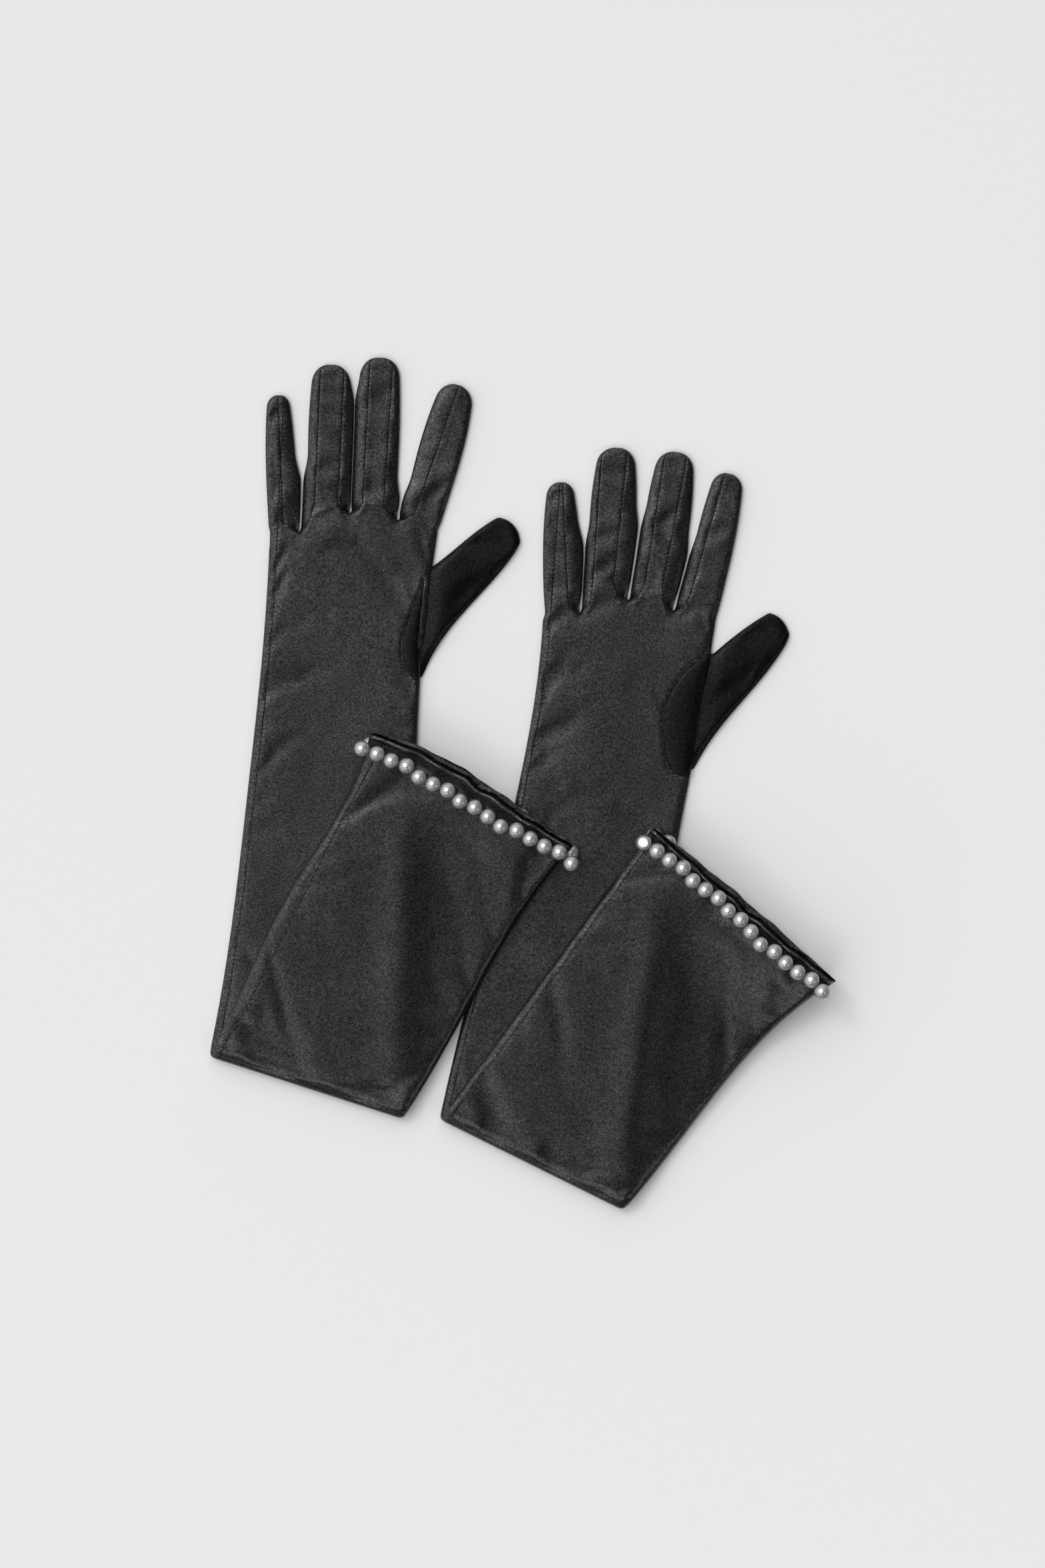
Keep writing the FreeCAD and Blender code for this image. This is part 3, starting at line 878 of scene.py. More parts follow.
def coordinates(mesh):
    flat = np.empty(len(mesh.vertices) * 3)
    mesh.vertices.foreach_get("co", flat)
    return flat.reshape(-1, 3) / MM


def set_coordinates(mesh, points):
    mesh.vertices.foreach_set("co", (np.asarray(points) * MM).ravel())
    mesh.update()


def puff(obj, cloth):
    """Lets the upper sheets swell and settle in Blender's cloth simulation."""
    points, zones = np.array(cloth.points), np.array(cloth.zones)
    free = (np.array(cloth.layers) == 1.0) & np.isin(zones, ("flat", "sleeve", "thumb", "gusset"))
    group = obj.vertex_groups.new(name="pinned")
    group.add([int(index) for index in np.where(~free)[0]], 1.0, "REPLACE")
    modifier = obj.modifiers.new("cloth", "CLOTH")
    settings = modifier.settings
    settings.vertex_group_mass = "pinned"
    settings.quality = 4
    settings.mass = 0.2
    settings.tension_stiffness = settings.compression_stiffness = 8.0
    settings.shear_stiffness = 4.0
    settings.bending_stiffness = 1.5
    settings.shrink_min = -0.008
    settings.use_pressure = True
    settings.uniform_pressure_force = 0.7
    settings.effector_weights.gravity = 0.0
    modifier.collision_settings.use_collision = False
    scene = bpy.context.scene
    for number in range(1, SIM_FRAMES + 1):
        scene.frame_set(number)
    shaped = obj.evaluated_get(bpy.context.evaluated_depsgraph_get()).to_mesh()
    lifted = coordinates(shaped)
    obj.modifiers.remove(modifier)
    obj.vertex_groups.remove(group)
    scene.frame_set(1)
    move = (lifted - points)[:, 2]
    cap = np.where(zones == "sleeve", SIM_CAP * 1.3, SIM_CAP)
    points[:, 2] += np.where(free, cap * np.tanh(move / cap), 0.0)
    return points


# ---- sewing, folds and soft relief ---------------------------------------
def subdivide(obj):
    """One round of smooth subdivision, applied."""
    modifier = obj.modifiers.new("smooth", "SUBSURF")
    modifier.levels = modifier.render_levels = 1
    shaped = obj.evaluated_get(bpy.context.evaluated_depsgraph_get())
    mesh = bpy.data.meshes.new_from_object(shaped)
    obj.modifiers.remove(modifier)
    old = obj.data
    obj.data = mesh
    bpy.data.meshes.remove(old)


def seam_lines(plan):
    """Every sewn line as plan points: the finger seams with the turns round each crotch."""
    lines = []
    for finger, block in zip(plan.fingers, plan.blocks):
        for strip, column in (("outer", 3), ("inner", -4)):
            if strip in finger.strips:
                lines.append(block[:-2, column])
    for here, there in zip(plan.blocks, plan.blocks[1:]):
        lines.append(np.concatenate((here[0][-4:], there[0][1:4])))
    return lines


def stitch_line(name):
    """The middles of a CAD stitch row, in order along the seam."""
    middles = [middle for middle, _ in centres(name)]
    start = max(middles, key=lambda point: point[1])
    order, left = [start], [point for point in middles if point is not start]
    while left:
        index = min(range(len(left)), key=lambda k: np.linalg.norm(left[k] - order[-1]))
        order.append(left.pop(index))
    return np.array(order)


def bumps(points, scale, seed):
    """Slow, even noise over the plan."""
    return np.array([noise.noise(Vector((x / scale, y / scale, seed))) for x, y, _ in points])


def side_distance(line, points):
    """Signed plan distance from a seam that is carried on past both its ends."""
    first, last = unit(line[0] - line[3]), unit(line[-1] - line[-4])
    line = np.vstack((line[:1] + first * SEAM_RUN_ON, line, line[-1:] + last * SEAM_RUN_ON))
    line[:, 2] = 0
    tree, samples = near_tree([line])
    found = []
    for point in points:
        _, index, distance = tree.find((point[0], point[1], 0))
        index = min(max(index, 1), len(samples) - 2)
        run = samples[index + 1] - samples[index - 1]
        side = run[0] * (point[1] - samples[index][1]) - run[1] * (point[0] - samples[index][0])
        found.append(math.copysign(distance, side))
    return np.array(found)


UNSEWN = 9.0             # the distance mark of cloth that is far from any seam
UPWARD = 0.25            # a normal that rises more than this belongs to an upper sheet
GROOVE = (0.12, 0.45)    # depth and half-width of a sewn groove
SHOULDER = (0.05, 2.0, 1.1)   # height, distance and half-width of the swell beside a groove
GUSSET_GROOVE = (0.7, 0.8)    # depth and half-width of the groove along the gusset's seam
PUCKER = (0.22, 2.4)     # height of the puckers, and how far they reach from a seam
PUCKERED = (0.14, 0.9, 11.0)  # their share everywhere, more at a crotch, and the reach of that
PIT = (0.3, 6.5)         # depth and reach of the dip at a crotch
LIP = (0.5, 1.3, 1.0)    # height, distance and half-width of the lip round a crotch's U
POCKET_DARK = 5.5        # how far a crotch's shade reaches
GATHER_REACH = 9.0
SIDE_GROOVE = (0.12, 1.2)
PIPING = (1.0, 1.2, 0.8)      # height, distance and half-width of the cuff's piping
PIPING_VALLEY = (0.6, 2.8, 1.0)
MOUTH_SHADE = 1.3        # the painted shade in the cuff's mouth is this wide
SOFT_FOLDS = ((0.55, 32.0, 1.5), (0.10, 8.0, 4.5))   # height, width and seed of the slow unevenness


def bell(distance, reach, middle=0.0):
    return np.exp(-((distance - middle) / reach) ** 2)


def relief(plan, points, normals, tags, names):
    """Moves the finished points and marks them: seams, puckers, crotches, the cuff and soft folds."""
    points = points.copy()
    tag_of = {name: index for index, name in enumerate(names)}

    def tagged(*wanted):
        return np.isin(tags, [tag_of[name] for name in wanted])

    up = normals[:, 2] > UPWARD
    sleeve, thumb, gusset, arm = [tagged(*wanted) for wanted in
                                  (("sleeve", "hem"), ("thumb_sheath",), ("thumb_gusset",), ("arm",))]
    strips = tagged(*[name for name in names if name.endswith("strip")])
    hand_like = up & ~sleeve & ~gusset & ~thumb & ~tagged("fold")
    marks = {name: np.full(len(points), UNSEWN) for name in ("seam", "side")}
    # the dark mark is painted light: above zero it paints shade, below zero a highlight
    marks.update({name: np.zeros(len(points)) for name in ("gather", "dark")})
    sew(plan, points, marks, np.where(hand_like & ~arm)[0], strips)
    # painted shade along the lines where two fingers touch
    beside_gap = np.where(~sleeve & ~arm & ~gusset & ~thumb)[0]
    crease = bell(distance_to(plan.creases, points[beside_gap]), CREASE_WIDTH)
    marks["dark"][beside_gap] = np.maximum(marks["dark"][beside_gap], crease)
    flat_seam = np.concatenate([stitch_line(f"{plan.side}_{part}_side_seam") for part in ("hand", "arm")])
    for line, part in ((flat_seam, hand_like), (stitch_line(f"{plan.side}_cuff_side_seam"), sleeve & up)):
        chosen = np.where(part)[0]
        marks["side"][chosen] = side_distance(line, points[chosen])
        points[chosen, 2] -= SIDE_GROOVE[0] * bell(marks["side"][chosen], SIDE_GROOVE[1])
    edge_cuff(plan, points, marks, np.where(sleeve)[0], normals, tagged("hem"))
    soft = np.where(up & ~gusset)[0]
    points[soft, 2] += sum(height * bumps(points[soft], width, seed) for height, width, seed in SOFT_FOLDS)
    drape(plan, points, np.where(sleeve)[0])
    return points, marks


def sew(plan, points, marks, chosen, strips):
    """Grooves and puckers along the finger seams, and the tucked-in satin at each crotch, with painted shade
    in its pocket.
    """
    distance = distance_to(seam_lines(plan), points[chosen])
    gusset_distance = distance_to([plan.gusset[0]], points[chosen])
    crotches = np.array([point[:2] for point in plan.crotches])
    to_crotch = np.min(np.linalg.norm(points[chosen, None, :2] - crotches[None], axis=2), axis=1)
    inside = np.where(strips[chosen], 1.0, 0.0)
    along = points[chosen, 1]
    height, reach = PUCKER
    everywhere, more, spread = PUCKERED
    pull = np.exp(-distance / reach) * (everywhere + more * bell(to_crotch, spread))
    pit = bell(to_crotch, PIT[1])
    lift = -GROOVE[0] * bell(distance, GROOVE[1]) - GUSSET_GROOVE[0] * bell(gusset_distance, GUSSET_GROOVE[1])
    lift += SHOULDER[0] * bell(distance, SHOULDER[2], SHOULDER[1])
    lift += height * pull * np.sin(along * 2.0 + 2.5 * np.sin(along * 0.37))
    lift -= POCKET * pit * inside * smooth_step(distance / 2.0) + PIT[0] * pit
    lift += LIP[0] * pit * (1 - inside) * bell(distance, LIP[2], LIP[1])
    points[chosen, 2] += lift
    marks["seam"][chosen] = np.minimum(distance, gusset_distance)
    # painted shade on the side strips round each crotch
    marks["dark"][chosen] = inside * np.exp(-(to_crotch / POCKET_DARK) ** 4)
    marks["gather"][chosen] = bell(to_crotch, GATHER_REACH) * (0.35 + 0.65 * inside)


def edge_cuff(plan, points, marks, chosen, normals, hem):
    """The cuff's piped front edge with a painted highlight, painted shade on the band past the piping and in
    the mouth behind it, and a painted highlight on the band of its back layer.
    """
    distance = distance_to([plan.front_edge], points[chosen])
    upper = normals[chosen, 2] > 0.0
    piping = PIPING[0] * bell(distance, PIPING[2], PIPING[1])
    valley = PIPING_VALLEY[0] * bell(distance, PIPING_VALLEY[2], PIPING_VALLEY[1])
    points[chosen, 2] += np.where(upper, piping - valley, 0.0)
    # painted light in the dark mark: highlight on the piping and on the back layer's band, shade on the band
    # past the piping and in the mouth
    past_piping = smooth_step((distance - 1.6) / 0.9)
    band = 0.6 * (1 - smooth_step((distance - BAND) / 1.5)) * past_piping - PIPING_PAINTED_HIGHLIGHT * (1 - past_piping)
    back_layer = np.where(distance > MOUTH_SHADE, -PIPING_PAINTED_HIGHLIGHT, 1.0)
    marks["dark"][chosen] = np.where(upper, np.where(hem[chosen], back_layer, band), 0.0)


SAG_FADE = (40.0, 6.0, 55.0)  # the sag grows over this length from the fold, and dies out near the cuff
SAG_ROUND = 50.0         # how softly the sag begins
SAG_RIDGE = (1.2, 11.0)  # height and half-width of the ridge over the arm's edge
FOLD_RIDGE = (1.5, 7.0, 3.8)  # height, distance and half-width of the ridge inside the fold


def drape(plan, points, chosen):
    """The folded sleeve sags where it runs off the edge of the arm beneath it."""
    edge = plan.arm[:, -1]
    run_x, run_y, _ = unit(level(edge[-1] - edge[0], 0.0))
    place, _, along = joint_frame(f"{plan.side}_arm_unfold")
    depth = (points[chosen] - place) @ along
    cuff = plan.sleeve[-1]
    cuff_x, cuff_y, _ = unit(cuff[-1] - cuff[0])
    to_cuff = -(points[chosen] - cuff[0]) @ np.array((-cuff_y, cuff_x, 0.0))
    from_fold, near_cuff, over = SAG_FADE
    fade = smooth_step(depth / from_fold) * smooth_step((to_cuff - near_cuff) / over)
    shift = (points[chosen] - edge[0]) @ np.array((-run_y, run_x, 0.0)) + DRAPE_SHIFT
    hinge = (np.sqrt(shift ** 2 + SAG_ROUND) + shift) / 2
    drop, run = DRAPE[plan.side]
    points[chosen, 2] -= fade * (drop * (1 - np.exp(-hinge / run)) - SAG_RIDGE[0] * bell(shift, SAG_RIDGE[1]))
    points[chosen, 2] += FOLD_RIDGE[0] * bell(depth, FOLD_RIDGE[2], FOLD_RIDGE[1])


# ---- materials ------------------------------------------------------------
class Nodes:
    """A small helper for writing node materials."""

    def __init__(self, name):
        self.material = bpy.data.materials.new(name)
        self.material.use_nodes = True
        self.tree = self.material.node_tree
        self.shader = self.tree.nodes["Principled BSDF"]
        self.place = self.add("ShaderNodeTexCoord").outputs["Object"]

    def add(self, kind, **values):
        """A node; a value is the node's own property, or else the input of that name."""
        node = self.tree.nodes.new(kind)
        for key, value in values.items():
            if hasattr(node, key):
                setattr(node, key, value)
            else:
                node.inputs[key.replace("_", " ")].default_value = value
        return node

    def link(self, output, target):
        self.tree.links.new(output, target)

    def set(self, **values):
        """Sets or links the shader's own inputs."""
        for key, value in values.items():
            target = self.shader.inputs[key.replace("_", " ")]
            if isinstance(value, (int, float)):
                target.default_value = value
            else:
                self.link(value, target)

    def math(self, operation, first, second=None):
        node = self.add("ShaderNodeMath", operation=operation)
        for index, value in enumerate((first, second)):
            if isinstance(value, (int, float)):
                node.inputs[index].default_value = value
            elif value is not None:
                self.link(value, node.inputs[index])
        return node.outputs[0]

    def product(self, first, *others):
        for other in others:
            first = self.math("MULTIPLY", first, other)
        return first

    def total(self, first, *others):
        for other in others:
            first = self.math("ADD", first, other)
        return first

    def attribute(self, name):
        return self.add("ShaderNodeAttribute", attribute_name=name).outputs["Fac"]

    def noise(self, scale, detail=2.0, roughness=0.5):
        node = self.add("ShaderNodeTexNoise", Scale=scale, Detail=detail, Roughness=roughness)
        self.link(self.place, node.inputs["Vector"])
        return node.outputs["Fac"]

    def ramp(self, value, low, high, start=0.0, end=1.0):
        node = self.add("ShaderNodeMapRange", From_Min=start, From_Max=end, To_Min=low, To_Max=high)
        self.link(value, node.inputs["Value"])
        return node.outputs["Result"]

    def grey(self, value):
        node = self.add("ShaderNodeCombineColor")
        for channel in ("Red", "Green", "Blue"):
            self.link(value, node.inputs[channel])
        return node.outputs["Color"]

    def bump(self, height, strength, distance):
        node = self.add("ShaderNodeBump", Strength=strength, Distance=distance)
        self.link(height, node.inputs["Height"])
        return node.outputs["Normal"]

    def twill(self, angle, pitch):
        """Fine slanting ribs, with pitch in metres."""
        turn = self.add("ShaderNodeMapping", Rotation=(0.0, 0.0, math.radians(angle)))
        self.link(self.place, turn.inputs["Vector"])
        wave = self.add("ShaderNodeTexWave", wave_type="BANDS", bands_direction="X", Distortion=2.2,
                        Detail=1.0, Scale=0.05 * 2 * math.pi / pitch, Detail_Scale=2.0)
        self.link(turn.outputs["Vector"], wave.inputs["Vector"])
        return wave.outputs["Fac"]


def satin(name, tone, twill_share=0.12, grain=0.28, angle=62.0, shine=0.40):
    """Black satin: fine twill and speckle under a broad soft shine, puckered at seams, with painted shade
    along the seams and where the dark mark is above zero, and a painted highlight where it is below zero.
    """
    build = Nodes(name)
    ribs = build.twill(angle, 0.0011)
    speck = build.noise(1150.0, 4.0, roughness=0.75)
    slow = build.noise(38.0, 3.0)
    worn = build.noise(620.0, 3.0)
    seam, gather, dark = [build.attribute(mark) for mark in ("seam", "gather", "dark")]
    side = build.math("ABSOLUTE", build.attribute("side"))
    # painted shade: the colour is darkened along each seam line for the shade in its groove
    thread = (build.ramp(seam, 1.0, 0.0, 0.08, 0.36), build.ramp(side, 1.0, 0.0, 0.05, 0.34))
    line = build.math("MAXIMUM", *thread)
    beside = build.ramp(build.math("MINIMUM", seam, side), 1.0, 0.0, 0.3, 3.0)
    light = build.product(
        build.ramp(speck, 1 - grain * 2.4, 1 + grain * 3.0, 0.36, 0.64),
        # painted shade where the dark mark is above zero, painted highlight where it is below zero
        build.ramp(dark, 1.0, 0.2),
        build.ramp(dark, 2.4, 1.0, -1.0, 0.0),
        build.ramp(ribs, 1 - twill_share, 1 + twill_share),
        build.ramp(slow, 0.92, 1.08, 0.3, 0.7),
        build.ramp(worn, 0.72, 1.28, 0.3, 0.7),
        build.ramp(line, 1.0, 0.10))
    height = build.total(
        build.product(ribs, 0.018),
        build.product(speck, 0.04),
        build.product(build.twill(84.0, 0.0021), beside, 0.07),
        build.product(build.twill(-68.0, 0.0012), gather, 0.28),
        build.product(line, -0.09))
    rough = build.total(build.ramp(speck, 0.27, 0.36, 0.3, 0.7), build.ramp(line, 0.0, 0.3),
                        build.ramp(dark, 0.0, 0.6))
    build.set(Base_Color=build.grey(build.product(light, tone)), Roughness=rough,
              Specular_IOR_Level=build.product(light, shine), Normal=build.bump(height, 1.0, 0.001))
    return build.material


def thread_material():
    """Twisted black sewing thread."""
    build = Nodes("sewing_thread")
    strands = build.twill(30.0, 0.0003)
    fuzz = build.noise(3000.0, 2.0)
    value = build.product(build.ramp(strands, 0.6, 1.3), build.ramp(fuzz, 0.7, 1.3), 0.018)
    build.set(Base_Color=build.grey(value), Roughness=0.6, Normal=build.bump(strands, 0.4, 0.00005))
    return build.material


PEARL_PAINTED_HIGHLIGHT = (-0.18, 0.10, 0.979)   # the way that the painted highlight on a pearl faces


def pearl_material():
    """Grey glass pearl: a soft deep coat, cloudy within, with a painted highlight in one spot and painted
    shade towards its rim.
    """
    build = Nodes("grey_pearl")
    facing = build.add("ShaderNodeLayerWeight", Blend=0.45).outputs["Facing"]
    cloud = build.noise(260.0, 3.0)
    fine = build.noise(1900.0, 2.0)
    painted_highlight = build.add("ShaderNodeVectorMath", operation="DOT_PRODUCT")
    painted_highlight.inputs[1].default_value = PEARL_PAINTED_HIGHLIGHT
    build.link(build.add("ShaderNodeNewGeometry").outputs["Normal"], painted_highlight.inputs[0])
    # painted shade: the colour falls towards the rim; painted highlight: it rises up to four times in the
    # spot that faces the highlight's way
    value = build.product(
        build.ramp(facing, 0.25, 0.02),
        build.ramp(painted_highlight.outputs["Value"], 1.0, 4.2, 0.955, 0.99),
        build.ramp(cloud, 0.88, 1.12, 0.3, 0.7),
        build.ramp(fine, 0.97, 1.03, 0.3, 0.7))
    build.set(Base_Color=build.grey(value), Roughness=build.ramp(cloud, 0.18, 0.25, 0.3, 0.7),
              Specular_IOR_Level=0.9, Coat_Weight=1.0, Coat_Roughness=0.10, Subsurface_Weight=0.08,
              Subsurface_Scale=0.001, Normal=build.bump(fine, 0.05, 0.00005))
    return build.material


def floor_material():
    """Pale matt paper."""
    build = Nodes("pale_floor")
    paper = build.grey(build.ramp(build.noise(900.0, 2.0), 0.674, 0.686))
    build.set(Base_Color=paper, Roughness=0.95, Specular_IOR_Level=0.1)
    return build.material


MATERIALS = {
    "satin": satin("black_satin", 0.0042),
    "strip": satin("side_strip_satin", 0.0038, twill_share=0.2, angle=20.0),
    # painted shade: the thumb and the gusset take a darker copy of the black satin, cut on the bias, with
    # less shine
    "thumb": satin("bias_cut_satin", 0.0017, twill_share=0.4, grain=0.2, angle=-38.0, shine=0.11),
    "hem": satin("hem_satin", 0.005, angle=10.0, shine=0.24),
    "thread": thread_material(),
    "pearl": pearl_material(),
}


# ---- pieces ---------------------------------------------------------------
def split(obj, names, normals, marks):
    """One object for each part of the finished cloth, with its neighbours' shading kept."""
    points = coordinates(obj.data)
    cells = [list(polygon.vertices) for polygon in obj.data.polygons]
    tags = np.empty(len(cells), dtype=np.int32)
    obj.data.polygons.foreach_get("material_index", tags)
    made = {}
    for tag, name in enumerate(names):
        chosen = [cells[index] for index in np.where(tags == tag)[0]]
        used = np.unique(np.concatenate([np.array(cell) for cell in chosen]))
        place = {int(old): new for new, old in enumerate(used)}
        piece = mesh_object(name, points[used], [[place[v] for v in cell] for cell in chosen])
        piece.data.shade_smooth()
        piece.data.normals_split_custom_set_from_vertices([Vector(n) for n in normals[used]])
        for mark, values in marks.items():
            layer = piece.data.attributes.new(mark, "FLOAT", "POINT")
            layer.data.foreach_set("value", values[used].astype(np.float32))
        made[name] = piece
    bpy.data.objects.remove(obj)
    return made


def dress(obj, material):
    obj.data.materials.clear()
    obj.data.materials.append(MATERIALS[material])


def across_joint(obj, before, after, joint, below, above):
    """Bakes a piece's placing into its mesh."""
    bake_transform(obj)


def hang_pieces(plan, pieces):
    """Gives each piece of cloth its material, attaches the sleeve, hem and gusset to their bodies, and hides
    the CAD nodes that the pieces stand for.
    """
    side = plan.side

    def hang(name, material, node, bend=None, body=None):
        piece = pieces[f"{side}_{name}"]
        dress(piece, material)
        if bend:
            across_joint(piece, *bend)
        if body:
            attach(piece, f"{side}_{body}")
        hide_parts(f"{side}_{node}")

    for finger in plan.fingers:
        name = finger.name
        bend = (f"{side}_hand", f"{side}_{name}", f"{side}_{name}_bend", BLEND_BELOW, BLEND_ABOVE)
        hang(f"{name}_sheath", "satin", f"{name}_finger", bend)
        for strip in finger.strips:
            hang(f"{name}_{strip}_strip", "strip", f"{name}_{strip}_fourchette", bend)
    hang("hand", "satin", "hand_trank", wrist_bend(side))
    hang("arm", "satin", "arm_trank", wrist_bend(side))
    hang("sleeve", "satin", "folded_sleeve", body="cuff")
    hang("hem", "hem", "cuff_hem", body="cuff")
    thumb_bend = (f"{side}_hand", f"{side}_thumb", f"{side}_thumb_bend", 0.0, THUMB_CLEAR)
    hang("thumb_sheath", "thumb", "thumb_sheath", thumb_bend)
    hang("thumb_gusset", "thumb", "thumb_gusset", body="hand")
    fold = pieces[f"{side}_fold"]
    dress(fold, "satin")
    heights = coordinates(fold.data)[:, 2]
    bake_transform(fold)


def wrist_bend(side):
    return f"{side}_arm", f"{side}_hand", f"{side}_wrist_bend", -WRIST_REACH, WRIST_REACH


# ---- stitches and pearls ----------------------------------------------------
PEARL_FILED = 0.9        # how much is filed off the one flat-topped pearl
PEARL_FLAT = np.array((-0.05, 0.02, 0.998))   # the way that its flat faces, close to the painted highlight's way, so that the whole flat is painted bright
PEARL_SWING = 0.9        # how far a pearl strays from the row on top
PEARL_SWING_BELOW = 0.4  # and from the row underneath
PEARL_SIZE = 1.08        # against the CAD pearls
PEARL_BORE = 0.55        # radius of the drilled hole
PEARL_PUSH = 4.2         # how far the row underneath lies outside the row on top
PEARL_PEEK = {"left": (0.73, 3.6), "right": (0.05, 3.2)}   # where that row shows most, and by how much
PEARL_DRAW = 0.96        # how much shorter that row is
STRING_TAIL = 0.55       # thread past each end pearl's middle, as a share of the pitch
STITCH_HALF = 1.25       # half the length of a stitch
STITCH_DIP = 0.12        # how far its ends dip


def ring_round(middle, across, rise, reach, sides):
    angles = [2 * math.pi * k / sides for k in range(sides)]
    return [middle + (across * math.cos(angle) + rise * math.sin(angle)) * reach for angle in angles]


def skin_over(rings, looped=False):
    """Points and cells over a row of rings: a tube closed at its ends, or a loop of rings."""
    sides = len(rings[0])
    points = [point for ring in rings for point in ring]
    cells = []
    for ring in range(len(rings) if looped else len(rings) - 1):
        here, there = ring * sides, (ring + 1) % len(rings) * sides
        for k in range(sides):
            ahead = (k + 1) % sides
            cells.append((here + k, here + ahead, there + ahead, there + k))
    if not looped:
        cells.append(tuple(range(sides))[::-1])
        cells.append(tuple(range(len(points) - sides, len(points))))
    return points, cells


def gathered(shapes):
    """Several shapes' points and cells as one shape."""
    points, cells = [], []
    for more, faces in shapes:
        cells += [[len(points) + corner for corner in face] for face in faces]
        points += more
    return points, cells


def capsule(start, end, radius=0.17, sides=6):
    """One round-ended stitch, its ends dipping into the cloth."""
    length = np.linalg.norm(end - start)
    run = (end - start) / length
    across = unit(np.cross(run, UP))
    rise = np.cross(across, run)
    ends = [(radius - radius * math.cos(angle), radius * math.sin(angle))
            for angle in np.linspace(0.15, math.pi / 2, 3)]
    ends += [(length - place, reach) for place, reach in ends[::-1]]
    rings = []
    for place, reach in ends:
        middle = start + run * place - rise * STITCH_DIP * (2 * place / length - 1) ** 2
        rings.append(ring_round(middle, across, rise, reach, sides))
    return skin_over(rings)


def stitch_piece(name, node, surface):
    """A row of stitches laid on the finished cloth where the CAD row runs."""
    line = stitch_line(node)
    stitches = []
    for index, middle in enumerate(line):
        ahead = line[min(index + 1, len(line) - 1)] - line[max(index - 1, 0)]
        ahead = level(ahead, 0.0) / np.linalg.norm(ahead[:2])
        ends = []
        for share in (-STITCH_HALF, STITCH_HALF):
            point = middle + ahead * share
            down = hit(surface, (point[0], point[1], FAR), (0, 0, -1))
            point[2] = (middle[2] if down is None else down[2]) + 0.02
            ends.append(point)
        stitches.append(capsule(*ends))
    obj = mesh_object(name, *gathered(stitches))
    obj.data.shade_smooth()
    dress(obj, "thread")
    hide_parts(node)
    return obj


def filed(point, centre, reach):
    """A pearl's point, brought down to the flat that its top is filed to."""
    over = float((point - centre) @ PEARL_FLAT) - reach
    return point - PEARL_FLAT * max(0.0, over)


def drilled_ball(centre, axis, radius, sides=32):
    """One pearl, round a drilled hole."""
    axis = unit(axis)
    across = unit(np.cross(axis, UP))
    rise = np.cross(axis, across)
    start = math.asin(PEARL_BORE / radius)
    outline = [(-radius * math.cos(a), radius * math.sin(a)) for a in np.linspace(start, math.pi - start, 22)]
    outline += [(place, PEARL_BORE * 0.9) for place in np.linspace(radius * 0.9, -radius * 0.9, 4)]
    return skin_over([ring_round(centre + axis * place, across, rise, reach, sides)
                      for place, reach in outline], looped=True)


def string(middles, radius=0.22, sides=6):
    """A thread through a row of pearls, with a short tail at each end."""
    first, last = middles[0] - middles[1], middles[-1] - middles[-2]
    line = [middles[0] + first * STRING_TAIL, *middles, middles[-1] + last * STRING_TAIL]
    rings = []
    for index, middle in enumerate(line):
        run = unit(line[min(index + 1, len(line) - 1)] - line[max(index - 1, 0)])
        across = unit(np.cross(run, UP))
        rings.append(ring_round(middle, across, np.cross(across, run), radius, sides))
    return skin_over(rings)


def pearl_rows(side):
    """Both rows' pearls, upper row first, each a pair of its middle and its size, a little out of line."""
    solids = sorted(centres(f"{side}_pearls"), key=lambda item: item[0][0])
    halfway = fit_plane(np.array([middle for middle, _ in solids]))
    upper, lower = [], []
    for middle, shell in solids:
        row = upper if middle[2] > float(plane_height(halfway, middle)) else lower
        row.append((middle, float(np.max(np.linalg.norm(shell - middle, axis=1)))))
    run = unit(upper[-1][0] - upper[0][0])
    out = np.array((-run[1], run[0], 0.0))
    spot, extra = PEARL_PEEK[side]
    rows = []
    for row, swing in ((upper, PEARL_SWING), (lower, PEARL_SWING_BELOW)):
        moved = []
        centre = (row[0][0] + row[-1][0]) / 2
        for index, (middle, radius) in enumerate(row):
            push = 0.0
            if row is lower:
                push = PEARL_PUSH + extra * float(bell(index / (len(row) - 1), 0.09, spot))
                middle = centre + (middle - centre) * PEARL_DRAW
            stray = swing * (math.sin(index * 2.3 + 1.0) + 0.6 * math.sin(index * 1.1))
            size = radius * (PEARL_SIZE + 0.012 * math.sin(index * 2.4))
            moved.append((middle + out * (stray + push), size))
        rows.append(moved)
    return rows


def pearl_piece(side):
    """All of a cuff's pearls, and the thread through each row."""
    pearls, strings = [], []
    for order, row in enumerate(pearl_rows(side)):
        middles = [middle for middle, _ in row]
        for index, (middle, radius) in enumerate(row):
            ahead = middles[min(index + 1, len(middles) - 1)] - middles[max(index - 1, 0)]
            points, cells = drilled_ball(middle, ahead, radius)
            if side == "right" and order == 0 and index == 0:
                points = [filed(point, middle, radius - PEARL_FILED) for point in points]
            pearls.append((points, cells))
        strings.append(string(middles))
    for name, shapes, material, node in (("pearl_rows", pearls, "pearl", "pearls"),
                                         ("pearl_strings", strings, "thread", "pearl_threads")):
        piece = mesh_object(f"{side}_{name}", *gathered(shapes))
        piece.data.shade_smooth()
        dress(piece, material)
        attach(piece, f"{side}_cuff")
        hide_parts(f"{side}_{node}")


def vertex_normals(mesh):
    flat = np.empty(len(mesh.vertices) * 3)
    mesh.vertices.foreach_get("normal", flat)
    return flat.reshape(-1, 3)


